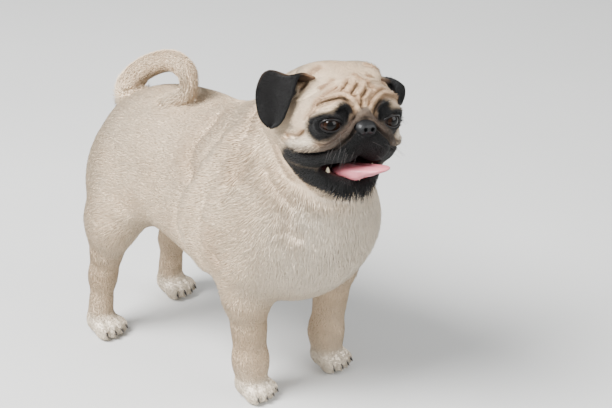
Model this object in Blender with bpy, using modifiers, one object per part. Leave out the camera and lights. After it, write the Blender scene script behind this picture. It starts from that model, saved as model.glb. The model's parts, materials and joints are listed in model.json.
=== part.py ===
"""A pug at life size, standing with its head turned a little to its right and its mouth open.

X points to the dog's front, Y to its left and Z up, in metres. The floor is at Z = 0. The head has
its own frame, in which X points to the nose: its sizes below are in millimetres.
"""

import math

import bmesh
import bpy
import numpy as np
from mathutils import Euler, Matrix, Vector

MM = 0.001

# The space that touching pieces keep between them
GAP = 0.3 * MM

# Trunk
CHEST_HALF_WIDTH = 0.090
RUMP_HALF_WIDTH = 0.074

# Middles of the four soles, as the feet stand on the floor
FOOT_X = {"front_right": 0.098, "front_left": 0.118, "hind_right": -0.127, "hind_left": -0.135}
FOOT_Y = {"front_right": -0.050, "front_left": 0.053, "hind_right": -0.062, "hind_left": 0.060}
SIDES = (("right", -1), ("left", 1))

# Toes, counted from the middle of the foot, and the width of one
TOE_PLACES = (-1.5, -0.5, 0.5, 1.5)
TOE_SPACING = 0.0090

# Head: its middle in the dog's frame, and how it is turned, lifted and tilted, in degrees
HEAD_MIDDLE = Vector((0.1790, -0.0105, 0.3440))
HEAD_TURN = -21.0
HEAD_LIFT = 6.5
HEAD_TILT = -7.0

# Eyes, in the head's frame
EYE = Vector((45.0, 32.0, 1.5))
EYE_RADIUS = 12.0
EYE_OUTWARD = 16.0

# Tail: its thickness at the root and the tip, and its course up and over the back
TAIL_RADIUS = 0.0150
TAIL_TIP_RADIUS = 0.0095
TAIL_COURSE = (
    (-0.128, 0.004, 0.250),
    (-0.143, 0.007, 0.276),
    (-0.128, 0.009, 0.300),
    (-0.098, 0.007, 0.321),
    (-0.062, 0.001, 0.335),
    (-0.032, -0.008, 0.333),
    (-0.021, -0.018, 0.316),
    (-0.036, -0.027, 0.304),
)

# Ears, in the head's frame for the left one: middle of the root, crest of the fold and side
EAR_ROOT = Vector((3, 38, 37))
EAR_CREST = Vector((-1, 60, 42))
EAR_SIDE = Vector((2, 71, 21))
EAR_TIP = Vector((7, 76, -9))
LEFT_EAR_MOVE = ((0, -4, -5), (-4, 4, -14), (-8, 6, -5), (-9, 2, 12))
FLAP_WAY = {-1: (-0.88, 0.47, -0.02), 1: (-0.72, 0.69, -0.06)}
EAR_HALF_WIDTH = 23.0
EAR_THICKNESS = 3.4

# Fineness of the modelled surface before it is thinned, and what it is thinned to
CLAY_VOXEL = 3.0 * MM
FLESH_TRIANGLES = 6500
DETAIL_HOLD = 0.012


def clear_scene():
    for obj in list(bpy.data.objects):
        bpy.data.objects.remove(obj, do_unlink=True)


def collection_named(name):
    made = bpy.data.collections.new(name)
    bpy.context.scene.collection.children.link(made)
    return made


def head_matrix():
    """From the head's own frame to the dog's, both in metres."""
    turn = Euler((0, 0, math.radians(HEAD_TURN))).to_matrix()
    lift = Euler((0, -math.radians(HEAD_LIFT), 0)).to_matrix()
    tilt = Euler((math.radians(HEAD_TILT), 0, 0)).to_matrix()
    return Matrix.Translation(HEAD_MIDDLE) @ (turn @ lift @ tilt).to_4x4()


HEAD = head_matrix() @ Matrix.Scale(MM, 4)


class Pile:
    """Many primitives gathered as one mesh, each placed by its own matrix."""

    def __init__(self):
        self.verts, self.faces = [], []
        self.ball = self.unit("ball")

    @staticmethod
    def unit(kind, end_share=1.0):
        mesh = bmesh.new()
        if kind == "ball":
            bmesh.ops.create_uvsphere(mesh, u_segments=16, v_segments=10, radius=1.0)
        else:
            bmesh.ops.create_cone(mesh, cap_ends=True, segments=12, radius1=1.0, radius2=end_share, depth=1.0)
        mesh.verts.ensure_lookup_table()
        verts = np.array([v.co for v in mesh.verts])
        faces = [[v.index for v in face.verts] for face in mesh.faces]
        mesh.free()
        return verts, faces

    def add(self, shape, matrix):
        verts, faces = shape
        place = np.array(matrix)
        first = sum(len(v) for v in self.verts)
        self.verts.append(verts @ place[:3, :3].T + place[:3, 3])
        self.faces += [[first + i for i in face] for face in faces]

    def object(self, name):
        data = bpy.data.meshes.new(name)
        data.from_pydata(np.concatenate(self.verts).tolist(), [], self.faces)
        return mesh_object(name, data)


class Egg:
    """An ellipsoid of clay: its middle, its three radii and how it is turned, in degrees.

    In the head's frame its sizes are millimetres, and the blend is always in metres.
    """

    def __init__(self, middle, radii, turned=(0, 0, 0), blend=0.02, frame=None):
        turn = Euler([math.radians(a) for a in turned]).to_matrix().to_4x4()
        place = Matrix.Translation(middle) @ turn
        scale = 1.0
        if frame is not None:
            scale = frame.to_scale()[0]
            place = frame @ place @ Matrix.Scale(1.0 / scale, 4)
        self.matrix = place
        self.inverse = np.array(place.inverted())
        self.radii = np.array(radii, float) * scale
        self.blend = blend
        self.middle = np.array(place.translation)
        self.reach = self.radii.max()

    def distance(self, points):
        local = points @ self.inverse[:3, :3].T + self.inverse[:3, 3]
        near = np.linalg.norm(local / self.radii, axis=1)
        slope = np.linalg.norm(local / self.radii**2, axis=1)
        return near * (near - 1.0) / np.maximum(slope, 1e-9)

    def add_to(self, pile):
        pile.add(pile.ball, self.matrix @ Matrix.Diagonal((*self.radii, 1.0)))


class Roll:
    """A rounded roll of clay through a few points, its radius passing from the first to the last."""

    def __init__(self, points, radius, end_radius=None, blend=0.015, frame=None, steps=1):
        places = [Vector(p) for p in points]
        scale = 1.0
        if frame is not None:
            scale = frame.to_scale()[0]
            places = [frame @ p for p in places]
        if steps > 1:
            places = smooth_path(places, steps)
        self.places = places
        end_radius = radius if end_radius is None else end_radius
        self.radii = np.linspace(radius, end_radius, len(places)) * scale
        self.blend = blend
        spots = np.array(places)
        self.middle = (spots.min(0) + spots.max(0)) / 2
        self.reach = np.linalg.norm(spots - self.middle, axis=1).max() + self.radii.max()

    def distance(self, points):
        best = np.full(len(points), np.inf)
        for i in range(len(self.places) - 1):
            start = np.array(self.places[i])
            along = np.array(self.places[i + 1]) - start
            from_start = points - start
            share = np.clip(from_start @ along / (along @ along), 0.0, 1.0)
            radius = self.radii[i] + (self.radii[i + 1] - self.radii[i]) * share
            away = np.linalg.norm(from_start - share[:, None] * along, axis=1) - radius
            best = np.minimum(best, away)
        return best

    def add_to(self, pile):
        for place, radius in zip(self.places, self.radii):
            pile.add(pile.ball, Matrix.Translation(place) @ Matrix.Scale(radius, 4))
        for i in range(len(self.places) - 1):
            start, end = self.places[i], self.places[i + 1]
            along = end - start
            turn = along.to_track_quat("Z", "Y").to_matrix().to_4x4()
            size = Matrix.Diagonal((self.radii[i], self.radii[i], along.length, 1.0))
            cone = pile.unit("cone", self.radii[i + 1] / self.radii[i])
            pile.add(cone, Matrix.Translation((start + end) / 2) @ turn @ size)


def smooth_path(places, steps):
    """A curve through the points, each span of it in the given number of steps."""
    ends = [places[0] * 2 - places[1]] + list(places) + [places[-1] * 2 - places[-2]]
    path = [places[0].copy()]
    for i in range(1, len(ends) - 2):
        before, start, end, after = ends[i - 1 : i + 3]
        for step in range(1, steps + 1):
            t = step / steps
            line = start * 2 + (end - before) * t
            line += (before * 2 - start * 5 + end * 4 - after) * t**2
            line += (start * 3 - before - end * 3 + after) * t**3
            path.append(line / 2)
    return path


def blended(first, second, blend):
    """The smooth union of two distances, rounded over the blend's length."""
    share = np.clip(0.5 + 0.5 * (second - first) / blend, 0.0, 1.0)
    return second + (first - second) * share - blend * share * (1.0 - share)


def near(lump, points):
    """Which points lie near enough to the lump to feel it."""
    away = np.linalg.norm(points - lump.middle, axis=1)
    return away < lump.reach + 2.5 * lump.blend + 6 * MM


def clay_distance(lumps, points, hollows=()):
    """The distance to the lumps pressed together, less the hollows."""
    total = lumps[0].distance(points)
    for lump in lumps[1:]:
        felt = near(lump, points)
        total[felt] = blended(total[felt], lump.distance(points[felt]), lump.blend)
    for hollow in hollows:
        felt = near(hollow, points)
        total[felt] = -blended(-total[felt], hollow.distance(points[felt]), hollow.blend)
    return total


def laid_on(lumps, places, lift):
    """The places moved onto the clay's surface, and raised from it by the lift."""

    def distance(points):
        return clay_distance(lumps, points)

    spots = np.array([tuple(p) for p in places])
    for _ in range(6):
        here = distance(spots)
        spots = spots - slope_of(distance, spots, here) * (here - lift)[:, None]
    return [Vector(spot) for spot in spots]


def trunk_lumps():
    """Barrel chest, belly, loin and the round rump."""
    return [
        Egg((0.060, 0, 0.207), (0.098, CHEST_HALF_WIDTH, 0.097)),
        Egg((-0.022, 0, 0.222), (0.100, 0.083, 0.084), turned=(0, 10, 0), blend=0.03),
        Egg((-0.084, 0, 0.222), (0.070, RUMP_HALF_WIDTH, 0.071), blend=0.03),
        Egg((0.130, 0, 0.200), (0.064, 0.084, 0.074), blend=0.03),
        Egg((0.112, 0, 0.168), (0.050, 0.056, 0.048), blend=0.03),
    ]


def neck_lumps():
    """The thick neck and the loose skin under the throat."""
    head = HEAD_MIDDLE
    return [
        Roll([(0.076, 0, 0.230), head + Vector((-0.040, 0.008, -0.026))], 0.077, 0.056, blend=0.04),
        Roll([(0.132, 0, 0.218), head + Vector((-0.012, 0.000, -0.056))], 0.073, 0.046, blend=0.03),
    ]


def front_leg_lumps(side, foot):
    """Shoulder, upper arm, straight forearm and wrist."""
    x, y = FOOT_X[foot], FOOT_Y[foot]
    elbow = Vector((x + 0.002, y + side * 0.009, 0.130))
    wrist = Vector((x - 0.003, y, 0.044))
    return [
        Egg((x + 0.002, side * 0.055, 0.188), (0.050, 0.038, 0.062), turned=(0, 12, 0)),
        Roll([(x + 0.006, y + side * 0.008, 0.168), elbow], 0.036, 0.0255),
        Roll([elbow, wrist], 0.0235, 0.0170),
        Roll([wrist, (x - 0.002, y, 0.022)], 0.0175, 0.0175),
    ]


def hind_leg_lumps(side, foot):
    """Thigh, stifle, second thigh, hock and rear pastern."""
    x, y = FOOT_X[foot], FOOT_Y[foot]
    hock = Vector((x + 0.002, y - side * 0.001, 0.076))
    thigh = Vector((-0.102, side * 0.042, 0.192))
    return [
        Egg(thigh, (0.050, 0.036, 0.062), turned=(0, 14, 0)),
        Roll([thigh + Vector((0.002, side * 0.012, -0.020)), (-0.108, side * 0.056, 0.146)], 0.030, 0.028),
        Roll([(-0.110, side * 0.056, 0.150), hock], 0.030, 0.0140),
        Roll([hock, (x - 0.006, y, 0.020)], 0.0138, 0.0150),
    ]


def toe_reach(place):
    """How far ahead of the foot's middle a toe stands: the outer two are set back."""
    return 0.0130 - 0.0035 * abs(abs(place) - 0.5)


def paw_lumps(foot):
    """Four knuckled toes round a middle pad."""
    x, y = FOOT_X[foot], FOOT_Y[foot]
    toes = [Egg((x - 0.002, y, 0.0125), (0.019, 0.0165, 0.0138), blend=0.008)]
    for place in TOE_PLACES:
        middle = (x + toe_reach(place), y + place * TOE_SPACING, 0.0095)
        toes.append(Egg(middle, (0.0130, 0.0060, 0.0106), turned=(0, 8, place * 7), blend=0.004))
    return toes


def skull_lumps():
    """Round skull, wide cheeks, brows and the short muzzle with its two cushions."""
    lumps = [
        Egg((-2, 0, 8), (54, 50, 42), frame=HEAD),
        Egg((-22, 0, -10), (44, 52, 44), frame=HEAD),
        Egg((34, 0, 14), (18, 28, 26), blend=0.014, frame=HEAD),
        Egg((45, 0, -9), (20, 17, 15), blend=0.008, frame=HEAD),
    ]
    for _, side in SIDES:
        lumps += [
            Egg((3, side * 27, 37), (20, 16, 12), blend=0.012, frame=HEAD),
            Roll([(2, side * 40, 26), (4, side * 58, 25)], 9.0, 7.0, blend=0.006, frame=HEAD),
            Egg((14, side * 33, -4), (29, 27, 30), blend=0.014, frame=HEAD),
            Egg((6, side * 35, -24), (38, 27, 28), blend=0.014, frame=HEAD),
            Egg((36, side * 24, 22), (17, 20, 12), turned=(side * -14, 0, 0), blend=0.010, frame=HEAD),
            Egg((46, side * 15, -18), (22, 19, 18), turned=(side * 14, 0, 0), blend=0.008, frame=HEAD),
            Roll([(46, side * 18, -25), (34, side * 32, -29), (16, side * 42, -32)], 13.5, 16,
                 blend=0.009, frame=HEAD, steps=3),
        ]
    return lumps


def jaw_lumps():
    """The undershot lower jaw, from the chin back to both cheeks."""
    lumps = [Egg((44, 0, -63), (13, 18, 10), blend=0.010, frame=HEAD)]
    for _, side in SIDES:
        lumps.append(Roll([(44, side * 13, -62), (24, side * 28, -56), (0, side * 36, -48)], 9.5, 15,
                          blend=0.010, frame=HEAD, steps=3))
    lumps.append(Egg((0, 0, -54), (38, 34, 17), blend=0.014, frame=HEAD))
    return lumps


def eye_lumps():
    """The mass of both lids round each eye."""
    lumps = []
    for _, side in SIDES:
        lumps.append(Egg((EYE.x - 1, side * EYE.y, EYE.z), (15.0, 16.5, 14.5), blend=0.007, frame=HEAD))
    return lumps


# Folds of the face on its left half, each with its radius, how far it stands up and where it runs
FACE_FOLDS = (
    (5.2, 3.0, ((58, 2, 12), (59, 6, 9), (60, 14, 2), (61, 22, -6), (57, 31, -15), (51, 39, -21), (44, 48, -24),
                (33, 57, -26))),
    (4.0, 2.6, ((59, 12, 6), (58, 14, 15), (57, 21, 21), (54, 32, 19), (48, 42, 12), (42, 50, 3))),
    (4.0, 2.2, ((58, 6, 16), (56, 9, 23), (53, 19, 29), (50, 30, 28), (43, 41, 21), (38, 49, 8))),
    (3.6, 1.6, ((44, 5, 38), (40, 16, 41), (32, 34, 36), (18, 54, 20))),
    (5.0, 1.4, ((36, 54, -22), (22, 60, -22), (4, 64, -16))),
)

# Folds of loose skin on the dog's body, in its own frame
BODY_FOLDS = (
    (0.013, 0.001, ((0.085, -0.06, 0.30), (0.060, -0.09, 0.25), (0.045, -0.09, 0.20), (0.05, -0.08, 0.15))),
    (0.011, 0.001, ((0.110, -0.06, 0.30), (0.090, -0.09, 0.25), (0.085, -0.09, 0.20))),
)


def fold_lumps(base):
    """Rolls of loose skin laid over the face and the shoulders."""
    folds = []
    for radius, lift, places in FACE_FOLDS:
        for _, side in SIDES:
            path = [HEAD @ Vector((x, side * y, z)) for x, y, z in places]
            path = laid_on(base, smooth_path(path, 3), (lift - 0.72 * radius) * MM)
            folds.append(Roll(path, radius * MM, radius * 0.7 * MM, blend=0.0018))
    for radius, lift, places in BODY_FOLDS:
        for side in (1, -1):
            path = [Vector((x, side * y, z)) for x, y, z in places]
            path = laid_on(base, smooth_path(path, 3), lift - 0.72 * radius)
            folds.append(Roll(path, radius, radius * 0.7, blend=0.012))
    return folds


def flesh_lumps():
    lumps = trunk_lumps() + neck_lumps()
    for end, side in SIDES:
        lumps += front_leg_lumps(side, "front_" + end)
        lumps += hind_leg_lumps(side, "hind_" + end)
    lumps += skull_lumps() + jaw_lumps() + eye_lumps()
    lumps += fold_lumps(lumps)
    for foot in FOOT_X:
        lumps += paw_lumps(foot)
    return lumps


def flesh_hollows():
    """The open mouth and the openings between the lids."""
    hollows = [Egg((34, 0, -44), (36, 31, 9), turned=(0, 6, 0), blend=0.004, frame=HEAD)]
    for _, side in SIDES:
        out = math.radians(EYE_OUTWARD) * side
        ahead = Vector((math.cos(out), math.sin(out), 0)) * 9.0
        middle = Vector((EYE.x, side * EYE.y, EYE.z)) + ahead
        hollows.append(Egg(middle, (9, 11.4, 6.3), turned=(0, 0, side * EYE_OUTWARD), blend=0.0015,
                           frame=HEAD))
    return hollows


def mesh_object(name, mesh_data):
    obj = bpy.data.objects.new(name, mesh_data)
    bpy.context.scene.collection.objects.link(obj)
    return obj


def lump_object(name, lumps):
    pile = Pile()
    for lump in lumps:
        lump.add_to(pile)
    return pile.object(name)


def applied(obj):
    """The object with its modifiers made part of its mesh."""
    graph = bpy.context.evaluated_depsgraph_get()
    data = bpy.data.meshes.new_from_object(obj.evaluated_get(graph))
    obj.modifiers.clear()
    old, obj.data = obj.data, data
    bpy.data.meshes.remove(old)
    return obj


def remeshed(obj, voxel):
    remesh = obj.modifiers.new("join", "REMESH")
    remesh.mode = "VOXEL"
    remesh.voxel_size = voxel
    return applied(obj)


def points_of(obj):
    points = np.empty(len(obj.data.vertices) * 3)
    obj.data.vertices.foreach_get("co", points)
    return points.reshape(-1, 3)


def normals_of(obj):
    normals = np.empty(len(obj.data.vertices) * 3)
    obj.data.vertex_normals.foreach_get("vector", normals)
    return normals.reshape(-1, 3)


def set_points(obj, points):
    obj.data.vertices.foreach_set("co", points.astype(np.float32).ravel())
    obj.data.update()


def slope_of(distance, points, here):
    """The way straight out of the clay at each point, as unit vectors."""
    step = 0.2 * MM
    ways = [distance(points + way * step) - here for way in np.eye(3)]
    slope = np.stack(ways, axis=1)
    return slope / np.maximum(np.linalg.norm(slope, axis=1, keepdims=True), 1e-12)


def drawn_to(obj, distance, rounds, most):
    """Moves each point straight to the surface of the distance, by no more than a little a time."""
    for _ in range(rounds):
        points = points_of(obj)
        here = distance(points)
        step = np.clip(here, -most, most)
        set_points(obj, points - slope_of(distance, points, here) * step[:, None])


def finer(obj, middle, reach):
    """Halves the faces that lie within reach of the middle."""
    mesh = bmesh.new()
    mesh.from_mesh(obj.data)
    centre = Vector(middle)
    edges = [e for e in mesh.edges if all((v.co - centre).length < reach for v in e.verts)]
    bmesh.ops.subdivide_edges(mesh, edges=edges, cuts=1, use_grid_fill=True)
    bmesh.ops.triangulate(mesh, faces=[f for f in mesh.faces if len(f.verts) > 4])
    mesh.to_mesh(obj.data)
    mesh.free()


def modelled(name, lumps, hollows, voxel, triangles, fine_spots=()):
    """One closed skin over the lumps, less the hollows, thinned to a number of triangles."""
    body = remeshed(lump_object(name, lumps), voxel)
    if hollows:
        cutter = lump_object("hollow", hollows)
        cut = body.modifiers.new("hollow", "BOOLEAN")
        cut.operation = "DIFFERENCE"
        cut.solver = "MANIFOLD"
        cut.object = cutter
        applied(body)
        bpy.data.objects.remove(cutter, do_unlink=True)
        remeshed(body, voxel)

    def distance(points):
        return clay_distance(lumps, points, hollows)

    drawn_to(body, distance, 5, voxel)
    remeshed(body, voxel)
    for middle, reach in fine_spots:
        finer(body, middle, reach)
    drawn_to(body, distance, 3, voxel)
    thin = body.modifiers.new("thin", "DECIMATE")
    thin.ratio = min(1.0, triangles / triangle_count(body))
    if fine_spots:
        thin.vertex_group = detail_group(body, fine_spots).name
        thin.vertex_group_factor = DETAIL_HOLD
    return applied(body)


def detail_group(obj, fine_spots):
    """Weights that let the plain skin be thinned before that near the fine spots."""
    points = points_of(obj)
    nearest = np.full(len(points), np.inf)
    for middle, reach in fine_spots:
        away = np.linalg.norm(points - np.array(middle), axis=1) - reach
        nearest = np.minimum(nearest, away)
    group = obj.vertex_groups.new(name="detail")
    group.add(np.nonzero(nearest > 0)[0].tolist(), 1.0, "REPLACE")
    group.add(np.nonzero(nearest <= 0)[0].tolist(), 0.5, "REPLACE")
    return group


def triangle_count(obj):
    obj.data.calc_loop_triangles()
    return len(obj.data.loop_triangles)


def copied(obj, name):
    return mesh_object(name, obj.data.copy())


def removed(obj):
    bpy.data.objects.remove(obj, do_unlink=True)


def biggest_part(obj):
    """Keeps only the largest closed surface of the mesh."""
    mesh = bmesh.new()
    mesh.from_mesh(obj.data)
    left = set(mesh.verts)
    groups = []
    while left:
        group, front = set(), [left.pop()]
        while front:
            vert = front.pop()
            group.add(vert)
            for edge in vert.link_edges:
                other = edge.other_vert(vert)
                if other in left:
                    left.discard(other)
                    front.append(other)
        groups.append(group)
    groups.sort(key=len)
    for group in groups[:-1]:
        bmesh.ops.delete(mesh, geom=list(group), context="VERTS")
    mesh.to_mesh(obj.data)
    mesh.free()
    return obj


def combined(obj, other, operation):
    """The mesh after one Boolean with the other."""
    change = obj.modifiers.new("change", "BOOLEAN")
    change.operation = operation
    change.solver = "MANIFOLD"
    change.object = other
    applied(obj)
    return biggest_part(obj)


def grown(obj, by):
    """A copy whose surface stands outside the mesh by a small distance."""
    larger = copied(obj, obj.name + "_grown")
    set_points(larger, points_of(larger) + normals_of(larger) * by)
    return larger


def make_room(obj, guest):
    """Cuts the guest's shape, and the gap round it, from the mesh."""
    larger = grown(guest, GAP * 1.4)
    combined(obj, larger, "DIFFERENCE")
    removed(larger)


def block(low, high, frame=None, tilt=0.0):
    """A box between two corners, tilted about Y round its first corner's edge."""
    mesh = bmesh.new()
    low, high = Vector(low), Vector(high)
    middle = (low + high) / 2
    made = bmesh.ops.create_cube(mesh, size=1.0)
    size = Matrix.Diagonal((*(high - low), 1.0))
    turn = Matrix.Rotation(math.radians(tilt), 4, "Y")
    matrix = turn @ Matrix.Translation(middle) @ size
    if frame is not None:
        matrix = frame @ matrix
    bmesh.ops.transform(mesh, matrix=matrix, verts=made["verts"])
    data = bpy.data.meshes.new("block")
    mesh.to_mesh(data)
    mesh.free()
    return mesh_object("block", data)


def split_off(rest, name, low, high, frame=None, tilt=0.0):
    """Takes what lies in the box from the rest, and leaves the gap between the two."""
    unit = MM if frame is None else 1.0
    space = Vector((1, 1, 1)) * (GAP if frame is None else GAP / unit / MM)
    inner = block(low, high, frame, tilt)
    piece = combined(copied(rest, name), inner, "INTERSECT")
    outer = block(Vector(low) - space, Vector(high) + space, frame, tilt)
    combined(rest, outer, "DIFFERENCE")
    removed(inner)
    removed(outer)
    return piece


def eye(side):
    """The eyeball with the bulge of its cornea."""
    out = math.radians(EYE_OUTWARD) * side
    ahead = Vector((math.cos(out), math.sin(out), 0))
    middle = Vector((EYE.x, side * EYE.y, EYE.z))
    lumps = [
        Egg(middle, (EYE_RADIUS,) * 3, frame=HEAD),
        Egg(middle + ahead * 5.0, (8.2,) * 3, blend=0.002, frame=HEAD),
    ]
    return modelled("eye_" + SIDES[side > 0][0], lumps, (), 1.5 * MM, 300)


def nose():
    """The nose leather with its two comma-shaped nostrils."""
    lumps = [Egg((57.5, 0, -1.5), (10.6, 10.0, 7.2), turned=(0, -10, 0), frame=HEAD)]
    hollows = []
    for _, side in SIDES:
        lumps.append(Egg((59, side * 5.2, -2.5), (9.5, 5.6, 6.5), blend=0.004, frame=HEAD))
        hollows.append(Egg((69, side * 4.0, -2.2), (5, 2.1, 2.2), blend=0.001, frame=HEAD))
        hollows.append(Roll([(68, side * 5.4, -2.8), (65, side * 8.6, -4.2), (61, side * 11, -4.4)], 1.3, 0.9,
                            blend=0.001, frame=HEAD))
    return modelled("nose", lumps, hollows, 0.9 * MM, 640)


def tongue():
    """The wide tongue, which comes out over the lip to the dog's left."""
    lumps = [
        Egg((35, 0, -51), (17, 17, 5.5), frame=HEAD),
        Egg((48, 3, -47.5), (18, 16, 5.4), turned=(0, -6, 8), blend=0.008, frame=HEAD),
        Egg((66, 9.5, -43.0), (18, 13.5, 4.4), turned=(6, -14, 20), blend=0.008, frame=HEAD),
    ]
    groove = [Roll([(24, 0, -41), (48, 3, -39.5), (76, 13, -33)], 4.0, 3.0, blend=0.004, frame=HEAD)]
    return modelled("tongue", lumps, groove, 1.5 * MM, 480)


def ear(side):
    """A thin flap that rises from the skull, folds over and hangs beside the cheek."""
    rows, columns = 9, 7
    flip = Matrix.Diagonal((1, side, 1, 1))
    mesh = bmesh.new()
    made = bmesh.ops.create_grid(mesh, x_segments=columns - 1, y_segments=rows - 1, size=1.0)
    for vert in made["verts"]:
        u, v = vert.co.x, (vert.co.y + 1) / 2
        vert.co = HEAD @ (flip @ ear_point(u, v, side))
    bmesh.ops.recalc_face_normals(mesh, faces=mesh.faces)
    data = bpy.data.meshes.new("ear")
    mesh.to_mesh(data)
    mesh.free()
    flap = mesh_object("ear_" + SIDES[side > 0][0], data)
    thick = flap.modifiers.new("thickness", "SOLIDIFY")
    thick.thickness = EAR_THICKNESS * MM
    thick.offset = 0.0
    thick.use_even_offset = False
    soft = flap.modifiers.new("soft", "SUBSURF")
    soft.levels = 1
    soft.render_levels = 1
    return applied(flap)


def ear_point(u, v, side):
    """A place on the ear: u runs from its front edge to its back edge, v from the root to the tip."""
    places = [EAR_ROOT, EAR_CREST, EAR_SIDE, EAR_TIP]
    if side > 0:
        places = [place + Vector(move) for place, move in zip(places, LEFT_EAR_MOVE)]
    course = smooth_path(places, 12)
    place = v * (len(course) - 1)
    first = min(int(place), len(course) - 2)
    middle = course[first].lerp(course[first + 1], place - first)
    rounding = math.sqrt(max(0.0, 1.0 - max(0.0, (v - 0.62) / 0.385) ** 3))
    half = EAR_HALF_WIDTH * (0.86 + 0.16 * math.sin(math.pi * min(1.0, v * 1.2))) * rounding
    root_way = Vector((-0.97, 0.10, -0.22))
    way = root_way.lerp(Vector(FLAP_WAY[side]), min(1.0, v * 1.6)).normalized()
    ahead = course[min(first + 1, len(course) - 1)] - course[first]
    up = ahead.cross(way).normalized()
    bow = 5.0 * (1.0 - u * u) * (1.0 - 0.5 * v)
    return middle + way * (u * half) - up * bow


def tail():
    course = Roll(TAIL_COURSE, TAIL_RADIUS, TAIL_TIP_RADIUS, steps=3)
    return modelled("tail_base", [course], (), 2.5 * MM, 800)


def teeth(jaw):
    """Small incisors and the two canines along the front of the lower jaw, fused to it."""
    for place in (-2.5, -1.5, -0.5, 0.5, 1.5, 2.5):
        add_tooth(jaw, (54 - 0.5 * place * place, place * 4.2, -54.5), 1.8, 6.0, 0)
    for _, side in SIDES:
        add_tooth(jaw, (46, side * 17.5, -52), 2.8, 11.0, side)


def add_tooth(jaw, middle, radius, height, lean):
    mesh = bmesh.new()
    turn = Matrix.Rotation(math.radians(-10 * lean), 4, "X")
    matrix = HEAD @ Matrix.Translation(middle) @ turn
    bmesh.ops.create_cone(
        mesh, cap_ends=True, segments=8, radius1=radius, radius2=radius * 0.45, depth=height, matrix=matrix
    )
    data = bpy.data.meshes.new("tooth")
    mesh.to_mesh(data)
    mesh.free()
    tooth = mesh_object("tooth", data)
    combined(jaw, tooth, "UNION")
    removed(tooth)


def add_claws(paw, foot):
    """Four short blunt claws, rooted in the toes."""
    x, y = FOOT_X[foot], FOOT_Y[foot]
    for place in TOE_PLACES:
        mesh = bmesh.new()
        lean = Matrix.Rotation(math.radians(90 + 38), 4, "Y")
        swing = Matrix.Rotation(math.radians(place * 7), 4, "Z")
        ahead = x + toe_reach(place) + 0.0130
        middle = Matrix.Translation((ahead, y + place * TOE_SPACING * 1.06, 0.0088))
        bmesh.ops.create_cone(
            mesh, cap_ends=True, segments=6, radius1=0.0023, radius2=0.0008, depth=0.0095,
            matrix=middle @ swing @ lean
        )
        data = bpy.data.meshes.new("claw")
        mesh.to_mesh(data)
        mesh.free()
        claw = mesh_object("claw", data)
        combined(paw, claw, "UNION")
        removed(claw)


def cut_into_nodes(flesh):
    """Parts the body with thin cuts where a person names its parts."""
    floor = block((-1, -1, -0.1), (1, 1, 0))
    combined(flesh, floor, "DIFFERENCE")
    removed(floor)
    nodes = {}
    for foot in FOOT_X:
        end, name = foot.split("_")
        x, y = FOOT_X[foot], FOOT_Y[foot]
        side = 1 if name == "left" else -1
        inner, outer = sorted((y - side * 0.040, y + side * 0.060))
        paw = split_off(flesh, f"{end}_paw_{name}", (x - 0.04, inner, -0.05), (x + 0.06, outer, 0.031))
        add_claws(paw, foot)
        nodes[foot] = paw
        inner, outer = sorted((side * 0.024, side * 0.2))
        if end == "front":
            split_off(flesh, "foreleg_" + name, (x - 0.034, inner, 0.0), (x + 0.08, outer, 0.113))
        else:
            split_off(flesh, "hind_leg_" + name, (x - 0.08, inner, 0.0), (x + 0.10, outer, 0.108))
            split_off(flesh, "thigh_" + name, (x - 0.10, inner, 0.0), (-0.064, outer, 0.176))
    head = split_off(flesh, "head", (-16, -150, -140), (200, 150, 140), frame=HEAD, tilt=-28)
    jaw = split_off(head, "lower_jaw", (-14, -150, -170), (150, 150, -45), frame=HEAD, tilt=4)
    split_off(flesh, "neck", (0.02, -0.3, 0.235), (0.5, 0.3, 0.8), tilt=20)
    flesh.name = "torso"
    return head, jaw, flesh


# Each node's coat or surface: its colour and roughness
COAT = {
    "fawn": ((0.62, 0.46, 0.29), 0.85),
    "pale": ((0.72, 0.60, 0.44), 0.85),
    "mask": ((0.035, 0.028, 0.026), 0.75),
    "ear": ((0.022, 0.019, 0.019), 0.80),
    "nose": ((0.010, 0.010, 0.011), 0.35),
    "eye": ((0.030, 0.014, 0.008), 0.10),
    "tongue": ((0.62, 0.24, 0.24), 0.40),
}
COAT_OF = {"head": "fawn", "lower_jaw": "mask", "nose": "nose", "tongue": "tongue", "neck": "pale"}


def coat_name(node):
    start = node.split("_")[0]
    return COAT_OF.get(node) or (start if start in COAT else "fawn")


def painted(obj):
    """Gives the node its own material."""
    color, roughness = COAT[coat_name(obj.name)]
    material = bpy.data.materials.new(obj.name + "_" + coat_name(obj.name))
    material.use_nodes = True
    shader = material.node_tree.nodes["Principled BSDF"]
    shader.inputs["Base Color"].default_value = (*color, 1.0)
    shader.inputs["Roughness"].default_value = roughness
    obj.data.materials.clear()
    obj.data.materials.append(material)
    obj.data.shade_smooth()


def stood_at_origin(nodes):
    """Moves the nodes so that the origin lies on the floor under the middle of the dog's box."""
    low, high = np.full(3, np.inf), np.full(3, -np.inf)
    for obj in nodes:
        points = points_of(obj)
        low, high = np.minimum(low, points.min(0)), np.maximum(high, points.max(0))
    shift = (low + high) / 2
    shift[2] = 0.0
    for obj in nodes:
        set_points(obj, points_of(obj) - shift)


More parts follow.
